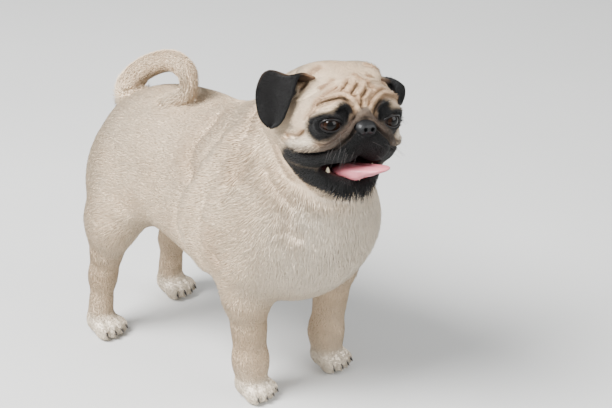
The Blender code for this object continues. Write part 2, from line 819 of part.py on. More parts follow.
def main():
    clear_scene()
    fine = [(HEAD @ Vector((20, 0, -10)), 0.085)]
    fine += [((FOOT_X[foot], FOOT_Y[foot], 0.010), 0.040) for foot in FOOT_X]
    lumps, hollows = flesh_lumps(), flesh_hollows()
    flesh = modelled("flesh", lumps, hollows, CLAY_VOXEL, FLESH_TRIANGLES, fine)
    head, jaw, torso = cut_into_nodes(flesh)
    tongue_node = tongue()
    teeth(jaw)
    make_room(jaw, tongue_node)
    make_room(head, tongue_node)
    make_room(head, nose())
    for _, side in SIDES:
        make_room(head, eye(side))
        make_room(head, ear(side))
    curl = tail()
    make_room(torso, curl)
    split_off(curl, "tail_tip", (-0.098, -0.1, 0.25), (0.1, 0.1, 0.5))
    nodes = [obj for obj in bpy.data.objects if obj.type == "MESH"]
    stood_at_origin(nodes)
    home = collection_named("pug")
    for obj in nodes:
        painted(obj)
        bpy.context.scene.collection.objects.unlink(obj)
        home.objects.link(obj)


main()
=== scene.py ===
# %% [markdown]
# # A fawn pug, standing
# The solids of the dog come in as a fixed frame. Everything below dresses them: one skin over the flesh,
# the short coat, the wet nose and eyes, the ears, the mouth and the claws.

# %% Load the solids
import json
import math

import bmesh
import bpy
import numpy as np
from mathutils import Euler, Matrix, Vector

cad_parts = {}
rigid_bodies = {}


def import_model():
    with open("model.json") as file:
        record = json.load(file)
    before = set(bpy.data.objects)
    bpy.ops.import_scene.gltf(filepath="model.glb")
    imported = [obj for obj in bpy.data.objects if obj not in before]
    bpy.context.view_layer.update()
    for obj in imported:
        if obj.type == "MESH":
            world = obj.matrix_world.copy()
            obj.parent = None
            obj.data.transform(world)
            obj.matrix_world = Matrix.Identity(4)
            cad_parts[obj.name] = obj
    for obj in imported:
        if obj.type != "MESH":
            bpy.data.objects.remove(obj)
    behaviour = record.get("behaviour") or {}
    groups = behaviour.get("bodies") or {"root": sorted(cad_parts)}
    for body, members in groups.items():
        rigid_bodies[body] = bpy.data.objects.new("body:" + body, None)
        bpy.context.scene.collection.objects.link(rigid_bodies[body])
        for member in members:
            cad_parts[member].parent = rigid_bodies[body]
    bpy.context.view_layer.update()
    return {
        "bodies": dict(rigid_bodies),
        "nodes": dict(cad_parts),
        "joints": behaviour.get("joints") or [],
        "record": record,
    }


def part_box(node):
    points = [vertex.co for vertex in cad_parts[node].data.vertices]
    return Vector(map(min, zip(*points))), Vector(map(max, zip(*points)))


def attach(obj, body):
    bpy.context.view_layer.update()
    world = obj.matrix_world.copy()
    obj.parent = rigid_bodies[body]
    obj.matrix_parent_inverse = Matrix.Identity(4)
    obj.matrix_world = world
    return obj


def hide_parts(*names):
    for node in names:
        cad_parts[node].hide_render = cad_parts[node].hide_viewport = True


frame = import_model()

MM = 0.001
SIDES = (("right", -1), ("left", 1))

# %% [markdown]
# ## Where things are
# The dog is modelled in its own frame, with the floor at zero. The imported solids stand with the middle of
# their box over the origin, so the two frames differ by one shift, which the right eyeball gives. The head
# has a frame of its own, in millimetres: X to the nose, Y to its left ear, Z up.

# %% The two frames
EYEBALL_BOX_MIDDLE = Vector((0.20907, -0.05580, 0.35446))
low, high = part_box("eye_right")
SHIFT = (low + high) / 2 - EYEBALL_BOX_MIDDLE
SHIFT.z = 0.0

HEAD_MIDDLE = Vector((0.1790, -0.0105, 0.3440))
turn = Euler((0, 0, math.radians(-21.0))).to_matrix()
lift = Euler((0, -math.radians(6.5), 0)).to_matrix()
tilt = Euler((math.radians(-7.0), 0, 0)).to_matrix()
HEAD = Matrix.Translation(HEAD_MIDDLE) @ (turn @ lift @ tilt).to_4x4() @ Matrix.Scale(MM, 4)
HEAD_BACK = np.array(HEAD.inverted())
print("shift of the frame in mm:", [round(c * 1000, 2) for c in SHIFT])


def in_head(points):
    """The points in the head's own frame, in millimetres."""
    return points @ HEAD_BACK[:3, :3].T + HEAD_BACK[:3, 3]


def step_up(low, high, values):
    """0 below low, 1 above high, and a smooth rise between."""
    share = np.clip((values - low) / (high - low), 0.0, 1.0)
    return share * share * (3 - 2 * share)


# %% [markdown]
# ## Clay
# A body is made of soft masses that run into one another. Sculptors press lumps of clay together, and a
# formula can do the same: each lump knows how far any point is from it, and a smooth union rounds the place
# where two meet. The mesh is then drawn onto the surface of that formula, which gives an even skin.

# %% Lumps of clay


def smooth_path(places, steps):
    """A curve through the points, each span of it in the given number of steps."""
    ends = [places[0] * 2 - places[1]] + list(places) + [places[-1] * 2 - places[-2]]
    path = [places[0].copy()]
    for i in range(1, len(ends) - 2):
        before, start, end, after = ends[i - 1 : i + 3]
        for step in range(1, steps + 1):
            t = step / steps
            line = start * 2 + (end - before) * t
            line += (before * 2 - start * 5 + end * 4 - after) * t**2
            line += (start * 3 - before - end * 3 + after) * t**3
            path.append(line / 2)
    return path


class Egg:
    """An ellipsoid: its middle, its three radii and how it is turned. In the head's frame, millimetres."""

    def __init__(self, middle, radii, turned=(0, 0, 0), blend=0.02, frame=None):
        place = Matrix.Translation(middle) @ Euler([math.radians(a) for a in turned]).to_matrix().to_4x4()
        scale = 1.0
        if frame is not None:
            scale = frame.to_scale()[0]
            place = frame @ place @ Matrix.Scale(1.0 / scale, 4)
        self.matrix = place
        self.inverse = np.array(place.inverted())
        self.radii = np.array(radii, float) * scale
        self.blend = blend
        self.middle = np.array(place.translation)
        self.reach = self.radii.max()

    def distance(self, points):
        local = points @ self.inverse[:3, :3].T + self.inverse[:3, 3]
        near = np.linalg.norm(local / self.radii, axis=1)
        slope = np.linalg.norm(local / self.radii**2, axis=1)
        return near * (near - 1.0) / np.maximum(slope, 1e-9)

    def balls(self):
        return [self.matrix @ Matrix.Diagonal((*self.radii, 1.0))]


class Roll:
    """A rounded roll through a few points, its radius passing from the first to the last."""

    def __init__(self, points, radius, end_radius=None, blend=0.015, frame=None, steps=1):
        places = [Vector(p) for p in points]
        scale = 1.0
        if frame is not None:
            scale = frame.to_scale()[0]
            places = [frame @ p for p in places]
        if steps > 1:
            places = smooth_path(places, steps)
        end_radius = radius if end_radius is None else end_radius
        self.places = places
        self.radii = np.linspace(radius, end_radius, len(places)) * scale
        self.blend = blend
        spots = np.array(places)
        self.middle = (spots.min(0) + spots.max(0)) / 2
        self.reach = np.linalg.norm(spots - self.middle, axis=1).max() + self.radii.max()

    def distance(self, points):
        return self.nearest(points)[0]

    def nearest(self, points):
        """The distance to the roll, and how far along it, from 0 to 1, the nearest place lies."""
        best = np.full(len(points), np.inf)
        place = np.zeros(len(points))
        last = len(self.places) - 1
        for i in range(last):
            start = np.array(self.places[i])
            along = np.array(self.places[i + 1]) - start
            from_start = points - start
            share = np.clip(from_start @ along / (along @ along), 0.0, 1.0)
            radius = self.radii[i] + (self.radii[i + 1] - self.radii[i]) * share
            away = np.linalg.norm(from_start - share[:, None] * along, axis=1) - radius
            place = np.where(away < best, (i + share) / last, place)
            best = np.minimum(best, away)
        return best, place

    def balls(self):
        """Enough balls along the roll to fill it."""
        made = []
        for i in range(len(self.places) - 1):
            start, end = self.places[i], self.places[i + 1]
            thin = min(self.radii[i], self.radii[i + 1])
            count = max(1, int((end - start).length / (0.6 * thin)))
            for k in range(count + 1):
                share = k / count
                size = self.radii[i] + (self.radii[i + 1] - self.radii[i]) * share
                made.append(Matrix.Translation(start.lerp(end, share)) @ Matrix.Scale(size, 4))
        return made


def blended(first, second, blend):
    """The smooth union of two distances, rounded over the blend's length."""
    share = np.clip(0.5 + 0.5 * (second - first) / blend, 0.0, 1.0)
    return second + (first - second) * share - blend * share * (1.0 - share)


def clay_distance(lumps, points, hollows=()):
    """The distance to the lumps pressed together, less the hollows."""
    total = lumps[0].distance(points)
    for lump in lumps[1:]:
        felt = np.linalg.norm(points - lump.middle, axis=1) < lump.reach + 2.5 * lump.blend + 6 * MM
        total[felt] = blended(total[felt], lump.distance(points[felt]), lump.blend)
    for hollow in hollows:
        felt = np.linalg.norm(points - hollow.middle, axis=1) < hollow.reach + 8 * MM
        total[felt] = -blended(-total[felt], hollow.distance(points[felt]), hollow.blend)
    return total


def slope_of(distance, points, here):
    """The way straight out of the clay at each point, as unit vectors."""
    ways = [distance(points + way * 0.2 * MM) - here for way in np.eye(3)]
    slope = np.stack(ways, axis=1)
    return slope / np.maximum(np.linalg.norm(slope, axis=1, keepdims=True), 1e-12)


def laid_on(lumps, places, lift):
    """The places moved onto the clay's surface, and raised from it by the lift."""

    def distance(points):
        return clay_distance(lumps, points)

    spots = np.array([tuple(p) for p in places])
    for _ in range(6):
        here = distance(spots)
        spots = spots - slope_of(distance, spots, here) * (here - lift)[:, None]
    return [Vector(spot) for spot in spots]


print("clay tools ready")

# %% [markdown]
# ## The masses of the dog
# A pug is square and stocky: a barrel chest, a level back, a round rump, straight forelegs and strong
# thighs. The same lumps shaped the solids, so the skin keeps their outline.

# %% Trunk, neck and legs
FOOT_X = {"front_right": 0.098, "front_left": 0.118, "hind_right": -0.127, "hind_left": -0.135}
FOOT_Y = {"front_right": -0.050, "front_left": 0.053, "hind_right": -0.062, "hind_left": 0.060}
TOE_PLACES = (-1.5, -0.5, 0.5, 1.5)
TOE_SPACING = 0.0090


def trunk_lumps():
    """Barrel chest, belly, loin and rump, and the thick neck with the loose skin of the throat."""
    head = HEAD_MIDDLE
    return [
        Egg((0.060, 0, 0.207), (0.098, 0.090, 0.097)),
        Egg((-0.022, 0, 0.222), (0.100, 0.083, 0.084), turned=(0, 10, 0), blend=0.03),
        Egg((-0.084, 0, 0.222), (0.070, 0.074, 0.071), blend=0.03),
        Egg((0.130, 0, 0.200), (0.064, 0.084, 0.074), blend=0.03),
        Egg((0.112, 0, 0.168), (0.050, 0.056, 0.048), blend=0.03),
        Roll([(0.076, 0, 0.230), head + Vector((-0.040, 0.008, -0.026))], 0.077, 0.056, blend=0.04),
        Roll([(0.132, 0, 0.218), head + Vector((-0.012, 0.000, -0.056))], 0.073, 0.046, blend=0.03),
    ]


def front_leg_lumps(side, foot):
    x, y = FOOT_X[foot], FOOT_Y[foot]
    elbow = Vector((x + 0.002, y + side * 0.009, 0.130))
    wrist = Vector((x - 0.003, y, 0.044))
    return [
        Egg((x + 0.002, side * 0.055, 0.188), (0.050, 0.038, 0.062), turned=(0, 12, 0)),
        Roll([(x + 0.006, y + side * 0.008, 0.168), elbow], 0.036, 0.0255),
        Roll([elbow, wrist], 0.0235, 0.0170),
        Roll([wrist, (x - 0.002, y, 0.022)], 0.0175, 0.0175),
    ]


def hind_leg_lumps(side, foot):
    x, y = FOOT_X[foot], FOOT_Y[foot]
    hock = Vector((x + 0.002, y - side * 0.001, 0.076))
    thigh = Vector((-0.102, side * 0.042, 0.192))
    return [
        Egg(thigh, (0.050, 0.036, 0.062), turned=(0, 14, 0)),
        Roll([thigh + Vector((0.002, side * 0.012, -0.020)), (-0.108, side * 0.056, 0.146)], 0.030, 0.028),
        Roll([(-0.110, side * 0.056, 0.150), hock], 0.030, 0.0140),
        Roll([hock, (x - 0.006, y, 0.020)], 0.0138, 0.0150),
    ]


def toe_reach(place):
    """How far ahead of the foot's middle a toe stands: the outer two are set back."""
    return 0.0130 - 0.0035 * abs(abs(place) - 0.5)


def paw_lumps(foot):
    x, y = FOOT_X[foot], FOOT_Y[foot]
    toes = [Egg((x - 0.002, y, 0.0125), (0.019, 0.0165, 0.0138), blend=0.008)]
    for place in TOE_PLACES:
        middle = (x + toe_reach(place), y + place * TOE_SPACING, 0.0095)
        toes.append(Egg(middle, (0.0130, 0.0060, 0.0106), turned=(0, 8, place * 7), blend=0.003))
    return toes


TAIL_COURSE = [Vector(p) for p in (
    (-0.128, 0.004, 0.250), (-0.143, 0.007, 0.276), (-0.128, 0.009, 0.300), (-0.098, 0.007, 0.321),
    (-0.062, 0.001, 0.335), (-0.032, -0.008, 0.333), (-0.021, -0.018, 0.316), (-0.036, -0.027, 0.304))]


def tail_lumps():
    """The curl: its root runs into the rump, and the rest only touches the back."""
    course = smooth_path(TAIL_COURSE, 4)
    return [
        Roll(course[:9], 0.0150, 0.0136, blend=0.012),
        Roll(course[8:], 0.0136, 0.0095, blend=0.001),
    ]


print("toes:", len(TOE_PLACES) * len(FOOT_X))

# %% [markdown]
# ## The head
# The skull is round and the muzzle very short, with two cushions under the nose. Big eyes sit wide apart.
# The lower jaw is undershot, and the mouth is open.

# %% Skull, muzzle and jaw
EYE = Vector((45.0, 32.0, 1.5))
EYE_RADIUS = 12.0
EYE_OUTWARD = 16.0


def skull_lumps():
    lumps = [
        Egg((-2, 0, 8), (54, 50, 42), frame=HEAD),
        Egg((-22, 0, -10), (44, 52, 44), frame=HEAD),
        Egg((34, 0, 14), (18, 28, 26), blend=0.014, frame=HEAD),
        Egg((45, 0, -9), (20, 17, 15), blend=0.008, frame=HEAD),
    ]
    for _, side in SIDES:
        lumps += [
            Egg((3, side * 27, 37), (20, 16, 12), blend=0.012, frame=HEAD),
            Roll([(2, side * 40, 26), (4, side * 58, 25)], 9.0, 7.0, blend=0.006, frame=HEAD),
            Egg((14, side * 33, -4), (29, 27, 30), blend=0.014, frame=HEAD),
            Egg((6, side * 35, -24), (38, 27, 28), blend=0.014, frame=HEAD),
            Egg((36, side * 24, 22), (17, 20, 12), turned=(side * -14, 0, 0), blend=0.010, frame=HEAD),
            Egg((46, side * 15, -18), (22, 19, 18), turned=(side * 14, 0, 0), blend=0.008, frame=HEAD),
            Roll([(46, side * 18, -25), (34, side * 32, -29), (16, side * 42, -32)], 13.5, 16,
                 blend=0.009, frame=HEAD, steps=3),
        ]
    return lumps


def jaw_lumps():
    lumps = [Egg((44, 0, -63), (13, 18, 10), blend=0.010, frame=HEAD)]
    for _, side in SIDES:
        lumps.append(Roll([(44, side * 13, -62), (24, side * 28, -56), (0, side * 36, -48)], 9.5, 15,
                          blend=0.010, frame=HEAD, steps=3))
    lumps.append(Egg((0, 0, -54), (38, 34, 17), blend=0.014, frame=HEAD))
    return lumps


def eye_lumps():
    return [Egg((EYE.x - 1, side * EYE.y, EYE.z), (15.0, 16.5, 14.5), blend=0.007, frame=HEAD)
            for _, side in SIDES]


def mouth_hollow():
    return Egg((34, 0, -44), (36, 31, 9), turned=(0, 6, 0), blend=0.004, frame=HEAD)


def gaze(side):
    """The way an eye looks, in the head's frame."""
    out = math.radians(EYE_OUTWARD) * side
    return Vector((math.cos(out), math.sin(out), 0))


def lid_hollows():
    """The almond openings between the lids."""
    made = []
    for _, side in SIDES:
        middle = Vector((EYE.x, side * EYE.y, EYE.z)) + gaze(side) * 9.0
        made.append(Egg(middle, (9, 11.4, 6.3), turned=(0, 0, side * EYE_OUTWARD), blend=0.0012, frame=HEAD))
    return made


print("head's middle:", tuple(round(c, 3) for c in HEAD_MIDDLE))

# %% [markdown]
# ## Folds of skin
# A pug's face is a set of rolls with deep creases between them. The rolls are clay, laid on the face along
# a few points. The creases are cut afterwards, as narrow grooves in the fine mesh.

# %% Rolls of the face and the shoulders
FACE_FOLDS = (
    (5.2, 3.0, ((58, 2, 12), (59, 6, 9), (60, 14, 2), (61, 22, -6), (57, 31, -15), (51, 39, -21),
                (44, 48, -24), (33, 57, -26))),
    (4.0, 2.6, ((59, 12, 6), (58, 14, 15), (57, 21, 21), (54, 32, 19), (48, 42, 12), (42, 50, 3))),
    (4.0, 2.2, ((58, 6, 16), (56, 9, 23), (53, 19, 29), (50, 30, 28), (43, 41, 21), (38, 49, 8))),
    (3.6, 1.6, ((44, 5, 38), (40, 16, 41), (32, 34, 36), (18, 54, 20))),
    (5.0, 1.4, ((36, 54, -22), (22, 60, -22), (4, 64, -16))),
)
BODY_FOLDS = (
    (0.013, 0.001, ((0.085, -0.06, 0.30), (0.060, -0.09, 0.25), (0.045, -0.09, 0.20), (0.05, -0.08, 0.15))),
    (0.011, 0.001, ((0.110, -0.06, 0.30), (0.090, -0.09, 0.25), (0.085, -0.09, 0.20))),
)


def fold_lumps(base):
    folds = []
    for radius, lift, places in FACE_FOLDS:
        for _, side in SIDES:
            path = [HEAD @ Vector((x, side * y, z)) for x, y, z in places]
            path = laid_on(base, smooth_path(path, 3), (lift - 0.72 * radius) * MM)
            folds.append(Roll(path, radius * MM, radius * 0.7 * MM, blend=0.0018))
    for radius, lift, places in BODY_FOLDS:
        for side in (1, -1):
            path = [Vector((x, side * y, z)) for x, y, z in places]
            path = laid_on(base, smooth_path(path, 3), lift - 0.72 * radius)
            folds.append(Roll(path, radius, radius * 0.7, blend=0.012))
    return folds


LUMPS = trunk_lumps()
for name, side in SIDES:
    LUMPS += front_leg_lumps(side, "front_" + name)
    LUMPS += hind_leg_lumps(side, "hind_" + name)
LUMPS += skull_lumps() + jaw_lumps() + eye_lumps()
LUMPS += fold_lumps(LUMPS)
for foot in FOOT_X:
    LUMPS += paw_lumps(foot)
LUMPS += tail_lumps()
HOLLOWS = [mouth_hollow()] + lid_hollows()
print("lumps:", len(LUMPS), "hollows:", len(HOLLOWS))

# %% [markdown]
# ## How long the coat is
# The coat is a few millimetres on the face, about a centimetre on the body, and longest on the neck, the
# chest and the back of the thighs. The skin lies below the solids by the depth that the hair takes up.

# %% Length and depth of the coat
TAIL_LINE = Roll(smooth_path(TAIL_COURSE, 4), 0.001)


def head_share(points):
    """1 on the head, 0 on the body, with a soft border round the neck."""
    local = in_head(points)
    away = np.linalg.norm((local - np.array((6, 0, -8))) / np.array((62, 66, 66)), axis=1)
    return 1 - step_up(0.95, 1.18, away)


def tail_share(points):
    away, place = TAIL_LINE.nearest(points)
    return (1 - step_up(0.016, 0.022, away)) * step_up(0.08, 0.2, place)


def hair_length(points):
    """The length of the hair at each point, in metres."""
    x, _, z = points.T
    local = in_head(points)
    length = np.full(len(points), 9.0)
    neck = step_up(0.22, 0.30, z) * step_up(0.02, 0.12, x)
    chest = step_up(0.12, 0.20, x) * step_up(0.10, 0.18, z)
    thigh_back = step_up(-0.13, -0.155, x) * step_up(0.10, 0.16, z) * (1 - step_up(0.24, 0.27, z))
    belly = (1 - step_up(0.13, 0.17, z)) * step_up(0.09, 0.12, z)
    length += 3.5 * neck + 4.0 * chest + 6.0 * thigh_back + 2.0 * belly
    length -= 3.0 * (1 - step_up(0.06, 0.13, z))
    length -= 2.2 * (1 - step_up(0.02, 0.05, z))
    face = head_share(points)
    on_head = 6.0 - 2.6 * step_up(0, 40, local[:, 0]) - 0.6 * step_up(40, 62, local[:, 0])
    on_head -= 1.2 * step_up(0, 20, local[:, 0]) * (1 - step_up(-66, -52, local[:, 2]))
    length = length * (1 - face) + on_head * face
    return length * MM


def coat_depth(points):
    return 0.16 * hair_length(points)


def skin_distance(points):
    return clay_distance(LUMPS, points, HOLLOWS) + coat_depth(points)


print("hair on the nape in mm:", np.round(hair_length(np.array([[0.10, 0.0, 0.33]])) * 1000, 1))

# %% [markdown]
# ## One skin
# Balls along the lumps are fused by a voxel remesh, and the mesh is drawn onto the clay's surface along its
# slope. The edges of the head are then halved, and those of the face once more, so that lids and creases have
# enough points.

# %% Mesh helpers


def mesh_object(name, data):
    obj = bpy.data.objects.new(name, data)
    bpy.context.scene.collection.objects.link(obj)
    return obj


def from_arrays(name, verts, faces):
    data = bpy.data.meshes.new(name)
    data.from_pydata(np.asarray(verts).tolist(), [], faces)
    return mesh_object(name, data)


def data_of(mesh, name):
    """The edited mesh as named data, ready for an object."""
    data = bpy.data.meshes.new(name)
    mesh.to_mesh(data)
    mesh.free()
    return data


def ball_mesh(lumps):
    """One mesh of all the balls that fill the lumps."""
    matrices = [matrix for lump in lumps for matrix in lump.balls()]
    mesh = bmesh.new()
    bmesh.ops.create_uvsphere(mesh, u_segments=16, v_segments=10, radius=1.0)
    mesh.verts.ensure_lookup_table()
    verts = np.array([v.co for v in mesh.verts])
    faces = [[v.index for v in face.verts] for face in mesh.faces]
    mesh.free()
    spots, shapes = [], []
    for count, matrix in enumerate(matrices):
        place = np.array(matrix)
        spots.append(verts @ place[:3, :3].T + place[:3, 3])
        shapes += [[count * len(verts) + i for i in face] for face in faces]
    return from_arrays("balls", np.concatenate(spots), shapes)


def applied(obj):
    """The object with its modifiers made part of its mesh."""
    graph = bpy.context.evaluated_depsgraph_get()
    data = bpy.data.meshes.new_from_object(obj.evaluated_get(graph))
    obj.modifiers.clear()
    old, obj.data = obj.data, data
    bpy.data.meshes.remove(old)
    return obj


def removed(obj):
    bpy.data.objects.remove(obj, do_unlink=True)


def remeshed(obj, voxel):
    remesh = obj.modifiers.new("join", "REMESH")
    remesh.mode = "VOXEL"
    remesh.voxel_size = voxel
    return applied(obj)


def hollowed(obj, hollows):
    """The object less the balls of the hollows."""
    cutter = ball_mesh(hollows)
    cut = obj.modifiers.new("hollow", "BOOLEAN")
    cut.operation = "DIFFERENCE"
    cut.solver = "MANIFOLD"
    cut.object = cutter
    applied(obj)
    removed(cutter)
    return obj


def rows_of(items, key, width=3, kind=float):
    """One property of all the items, as an array with a row for each."""
    values = np.empty(len(items) * width, kind)
    items.foreach_get(key, values)
    return values.reshape(-1, width) if width > 1 else values


def points_of(obj):
    return rows_of(obj.data.vertices, "co")


def normals_of(obj):
    return rows_of(obj.data.vertex_normals, "vector")


def set_points(obj, points):
    obj.data.vertices.foreach_set("co", points.astype(np.float32).ravel())
    obj.data.update()


def drawn_to(obj, distance, rounds, most):
    """Moves each point straight to the surface of the distance, by no more than a little a time."""
    for _ in range(rounds):
        points = points_of(obj)
        here = distance(points)
        moving = np.abs(here) > 0.02 * MM
        spots = points[moving]
        way = slope_of(distance, spots, here[moving])
        points[moving] = spots - way * np.clip(here[moving], -most, most)[:, None]
        set_points(obj, points)


def finer(obj, near):
    """Halves the edges whose ends are both near."""
    mesh = bmesh.new()
    mesh.from_mesh(obj.data)
    mesh.verts.ensure_lookup_table()
    wanted = near(points_of(obj))
    edges = [e for e in mesh.edges if wanted[e.verts[0].index] and wanted[e.verts[1].index]]
    bmesh.ops.subdivide_edges(mesh, edges=edges, cuts=1, use_grid_fill=True)
    bmesh.ops.triangulate(mesh, faces=[f for f in mesh.faces if len(f.verts) > 4])
    mesh.to_mesh(obj.data)
    mesh.free()


def biggest_part(obj):
    """Keeps only the largest closed surface of the mesh."""
    mesh = bmesh.new()
    mesh.from_mesh(obj.data)
    left = set(mesh.verts)
    groups = []
    while left:
        group, front = set(), [left.pop()]
        while front:
            vert = front.pop()
            group.add(vert)
            for edge in vert.link_edges:
                other = edge.other_vert(vert)
                if other in left:
                    left.discard(other)
                    front.append(other)
        groups.append(group)
    groups.sort(key=len)
    for group in groups[:-1]:
        bmesh.ops.delete(mesh, geom=list(group), context="VERTS")
    mesh.to_mesh(obj.data)
    mesh.free()
    return obj


def triangle_count(obj):
    obj.data.calc_loop_triangles()
    return len(obj.data.loop_triangles)


print("mesh helpers ready")

# %% The skin
FIRST_VOXEL = 3.2 * MM
EVEN_VOXEL = 3.9 * MM
HEAD_REACH = 82 * MM
FACE_REACH = 60 * MM
LOWEST_SKIN = 0.5 * MM

skin = remeshed(ball_mesh(LUMPS), FIRST_VOXEL)
remeshed(hollowed(skin, HOLLOWS), FIRST_VOXEL)
drawn_to(skin, skin_distance, 4, 3.0 * MM)
remeshed(skin, EVEN_VOXEL)
skin.name = "skin"
print("skin before the head is made finer:", triangle_count(skin))

HEAD_SPOT = np.array(HEAD @ Vector((14, 0, -12)))
FACE_SPOT = np.array(HEAD @ Vector((40, 0, -6)))
finer(skin, lambda p: np.linalg.norm(p - HEAD_SPOT, axis=1) < HEAD_REACH)
drawn_to(skin, skin_distance, 2, 2.0 * MM)
finer(skin, lambda p: np.linalg.norm(p - FACE_SPOT, axis=1) < FACE_REACH)
drawn_to(skin, skin_distance, 2, 1.0 * MM)
floor_points = points_of(skin)
floor_points[:, 2] = np.maximum(floor_points[:, 2], LOWEST_SKIN)
set_points(skin, floor_points)
biggest_part(skin)
print("skin:", triangle_count(skin), "triangles")

# %% [markdown]
# ## Creases and markings
# Where two rolls meet there is a narrow crease, darkened with painted shade. Each crease is a short path on
# the head or the body.
# The fine mesh sinks along it, and on the head it swells a little on both sides.

# %% Creases of the skin
# Each crease: its depth and half its width in millimetres, the side it is on (0 for both), and its path.
FACE_CREASES = (
    (3.6, 1.5, 0, ((57, 2, 17), (57, 4, 21), (55, 7, 27), (53, 13, 31), (49, 22, 33), (47, 29, 31),
                   (46, 37, 26), (39, 45, 16), (37, 51, 5))),
    (3.4, 1.4, 0, ((60, 10, 6), (57, 11, 15), (57, 16, 23), (56, 24, 27), (53, 34, 25), (45, 44, 20),
                   (38, 48, 12), (34, 53, 0))),
    (3.6, 1.5, 0, ((60, 7, 5), (60, 12, -1), (63, 18, -8), (62, 25, -15), (57, 31, -22), (50, 38, -27),
                   (42, 48, -30), (30, 58, -31))),
    (2.2, 1.2, 0, ((58, 8, 13), (58, 14, 5), (62, 23, -1), (60, 31, -9), (53, 38, -16), (42, 49, -18))),
    (3.0, 1.4, 0, ((37, 52, -5), (32, 57, -13), (22, 61, -15), (12, 62, -16))),
    (3.4, 1.4, -1, ((52, -1, 26), (57, -3, 16))),
    (3.6, 1.4, -1, ((49, -24, 33), (45, -16, 37), (42, -11, 41), (36, -8, 43))),
    (3.6, 1.4, -1, ((41, -1, 42), (47, -5, 36), (53, -11, 32), (55, -5, 28))),
    (3.6, 1.4, -1, ((30, -3, 45), (38, 3, 42), (46, 9, 37), (52, 15, 34))),
    (3.6, 1.4, -1, ((47, 7, 35), (51, 2, 30), (52, -3, 26))),
    (2.4, 1.7, -1, ((32, -38, 31), (34, -32, 36), (31, -18, 42))),
    (2.4, 1.6, -1, ((39, -46, 19), (43, -37, 29), (43, -20, 37))),
    (2.4, 1.7, 1, ((28, 15, 43), (33, 28, 40), (36, 42, 31))),
    (2.0, 2.0, 0, ((12, 20, 47), (16, 36, 44), (14, 52, 30))),
)
BODY_CREASES = (
    (1.8, 4.5, 0, ((0.158, 0.072, 0.324), (0.157, 0.068, 0.307), (0.168, 0.068, 0.297), (0.182, 0.054, 0.272),
                   (0.194, 0.035, 0.262), (0.202, 0.0, 0.257))),
    (1.6, 6.0, 0, ((0.132, 0.065, 0.293), (0.144, 0.067, 0.280), (0.159, 0.066, 0.266),
                   (0.172, 0.058, 0.252))),
    (2.2, 8.0, 0, ((0.024, 0.016, 0.308), (0.036, 0.037, 0.304), (0.033, 0.055, 0.290), (0.033, 0.068, 0.278),
                   (0.040, 0.079, 0.263), (0.054, 0.091, 0.248))),
    (1.8, 7.0, 0, ((0.099, 0.030, 0.345), (0.101, 0.052, 0.321), (0.103, 0.069, 0.299), (0.108, 0.076, 0.282),
                   (0.112, 0.078, 0.262))),
    (1.6, 6.0, 0, ((0.092, 0.096, 0.225), (0.087, 0.099, 0.207), (0.088, 0.098, 0.191),
                   (0.108, 0.097, 0.176))),
    (1.4, 5.0, -1, ((0.162, -0.067, 0.255), (0.165, -0.069, 0.241), (0.168, -0.069, 0.230),
                    (0.184, -0.056, 0.222))),
)


def crease_rolls():
    """Each crease as a path on the finished clay, with its depth and half its width."""
    made = []
    for creases, local in ((FACE_CREASES, HEAD), (BODY_CREASES, Matrix.Identity(4))):
        for depth, width, only, places in creases:
            for _, side in SIDES:
                if only and side != only:
                    continue
                flip = 1 if only else side
                path = [local @ Vector((x, flip * y, z)) for x, y, z in places]
                path = laid_on(LUMPS, smooth_path(path, 4), -coat_depth(np.array([path[0]]))[0])
                made.append((depth * MM, width * MM, Roll(path, 0.0), local is HEAD))
    return made


CREASE_ROLLS = crease_rolls()


def crease_share(points):
    """How deep in a crease each point lies, in metres, and its share of the painted shade: the dark core and
    the warm border.
    """
    depth_here, core, border = np.zeros(len(points)), np.zeros(len(points)), np.zeros(len(points))
    for depth, width, roll, sharp in CREASE_ROLLS:
        felt = np.nonzero(np.linalg.norm(points - roll.middle, axis=1) < roll.reach + 6 * width)[0]
        away, place = roll.nearest(points[felt])
        ends = step_up(0.0, 0.12, place) * (1 - step_up(0.88, 1.0, place))
        dip = np.exp(-((away / width) ** 2)) * ends
        swell = np.exp(-(((away - 2.4 * width) / (1.3 * width)) ** 2)) * ends
        depth_here[felt] = np.maximum(depth_here[felt], depth * dip) - 0.30 * depth * swell * sharp
        halo = np.exp(-((away / (2.6 * width)) ** 2)) * ends
        core[felt] = np.maximum(core[felt], np.exp(-((away / (1.2 * width)) ** 2)) * ends * sharp)
        border[felt] = np.maximum(border[felt], halo * (1.0 if sharp else 0.30))
    return depth_here, core, border


points = points_of(skin)
depth_here, _, _ = crease_share(points)
set_points(skin, points - normals_of(skin) * depth_here[:, None])
print("creases:", len(CREASE_ROLLS), "deepest in mm:", round(depth_here.max() * 1000, 2))

# %% [markdown]
# ## Markings of the coat
# A fawn pug is cream to warm tan, paler on the chest and the toes. Its muzzle, chin and the skin round its
# eyes are black, and the roll over the nose is a grizzled brown. The markings are painted with lumps too:
# inside a lump the colour is full, and it fades over a few millimetres. Skin and hair read the same colours.

# %% Colours by place
CREAM = np.array((0.70, 0.555, 0.395))
TAN = np.array((0.52, 0.345, 0.19))
PALE = np.array((0.80, 0.71, 0.58))
BLACK = np.array((0.0042, 0.0036, 0.0036))
GRIZZLE = np.array((0.085, 0.062, 0.048))
# The next two colours are painted shade in the creases: a warm tan border and a dark brown core.
FOLD_SHADE_TAN = np.array((0.40, 0.215, 0.10))
CREASE_SHADE_BROWN = np.array((0.050, 0.024, 0.012))
MOUTH_RED = np.array((0.20, 0.045, 0.040))
LIP_BLACK = np.array((0.016, 0.011, 0.011))


def both(make):
    return [make(side) for _, side in SIDES]


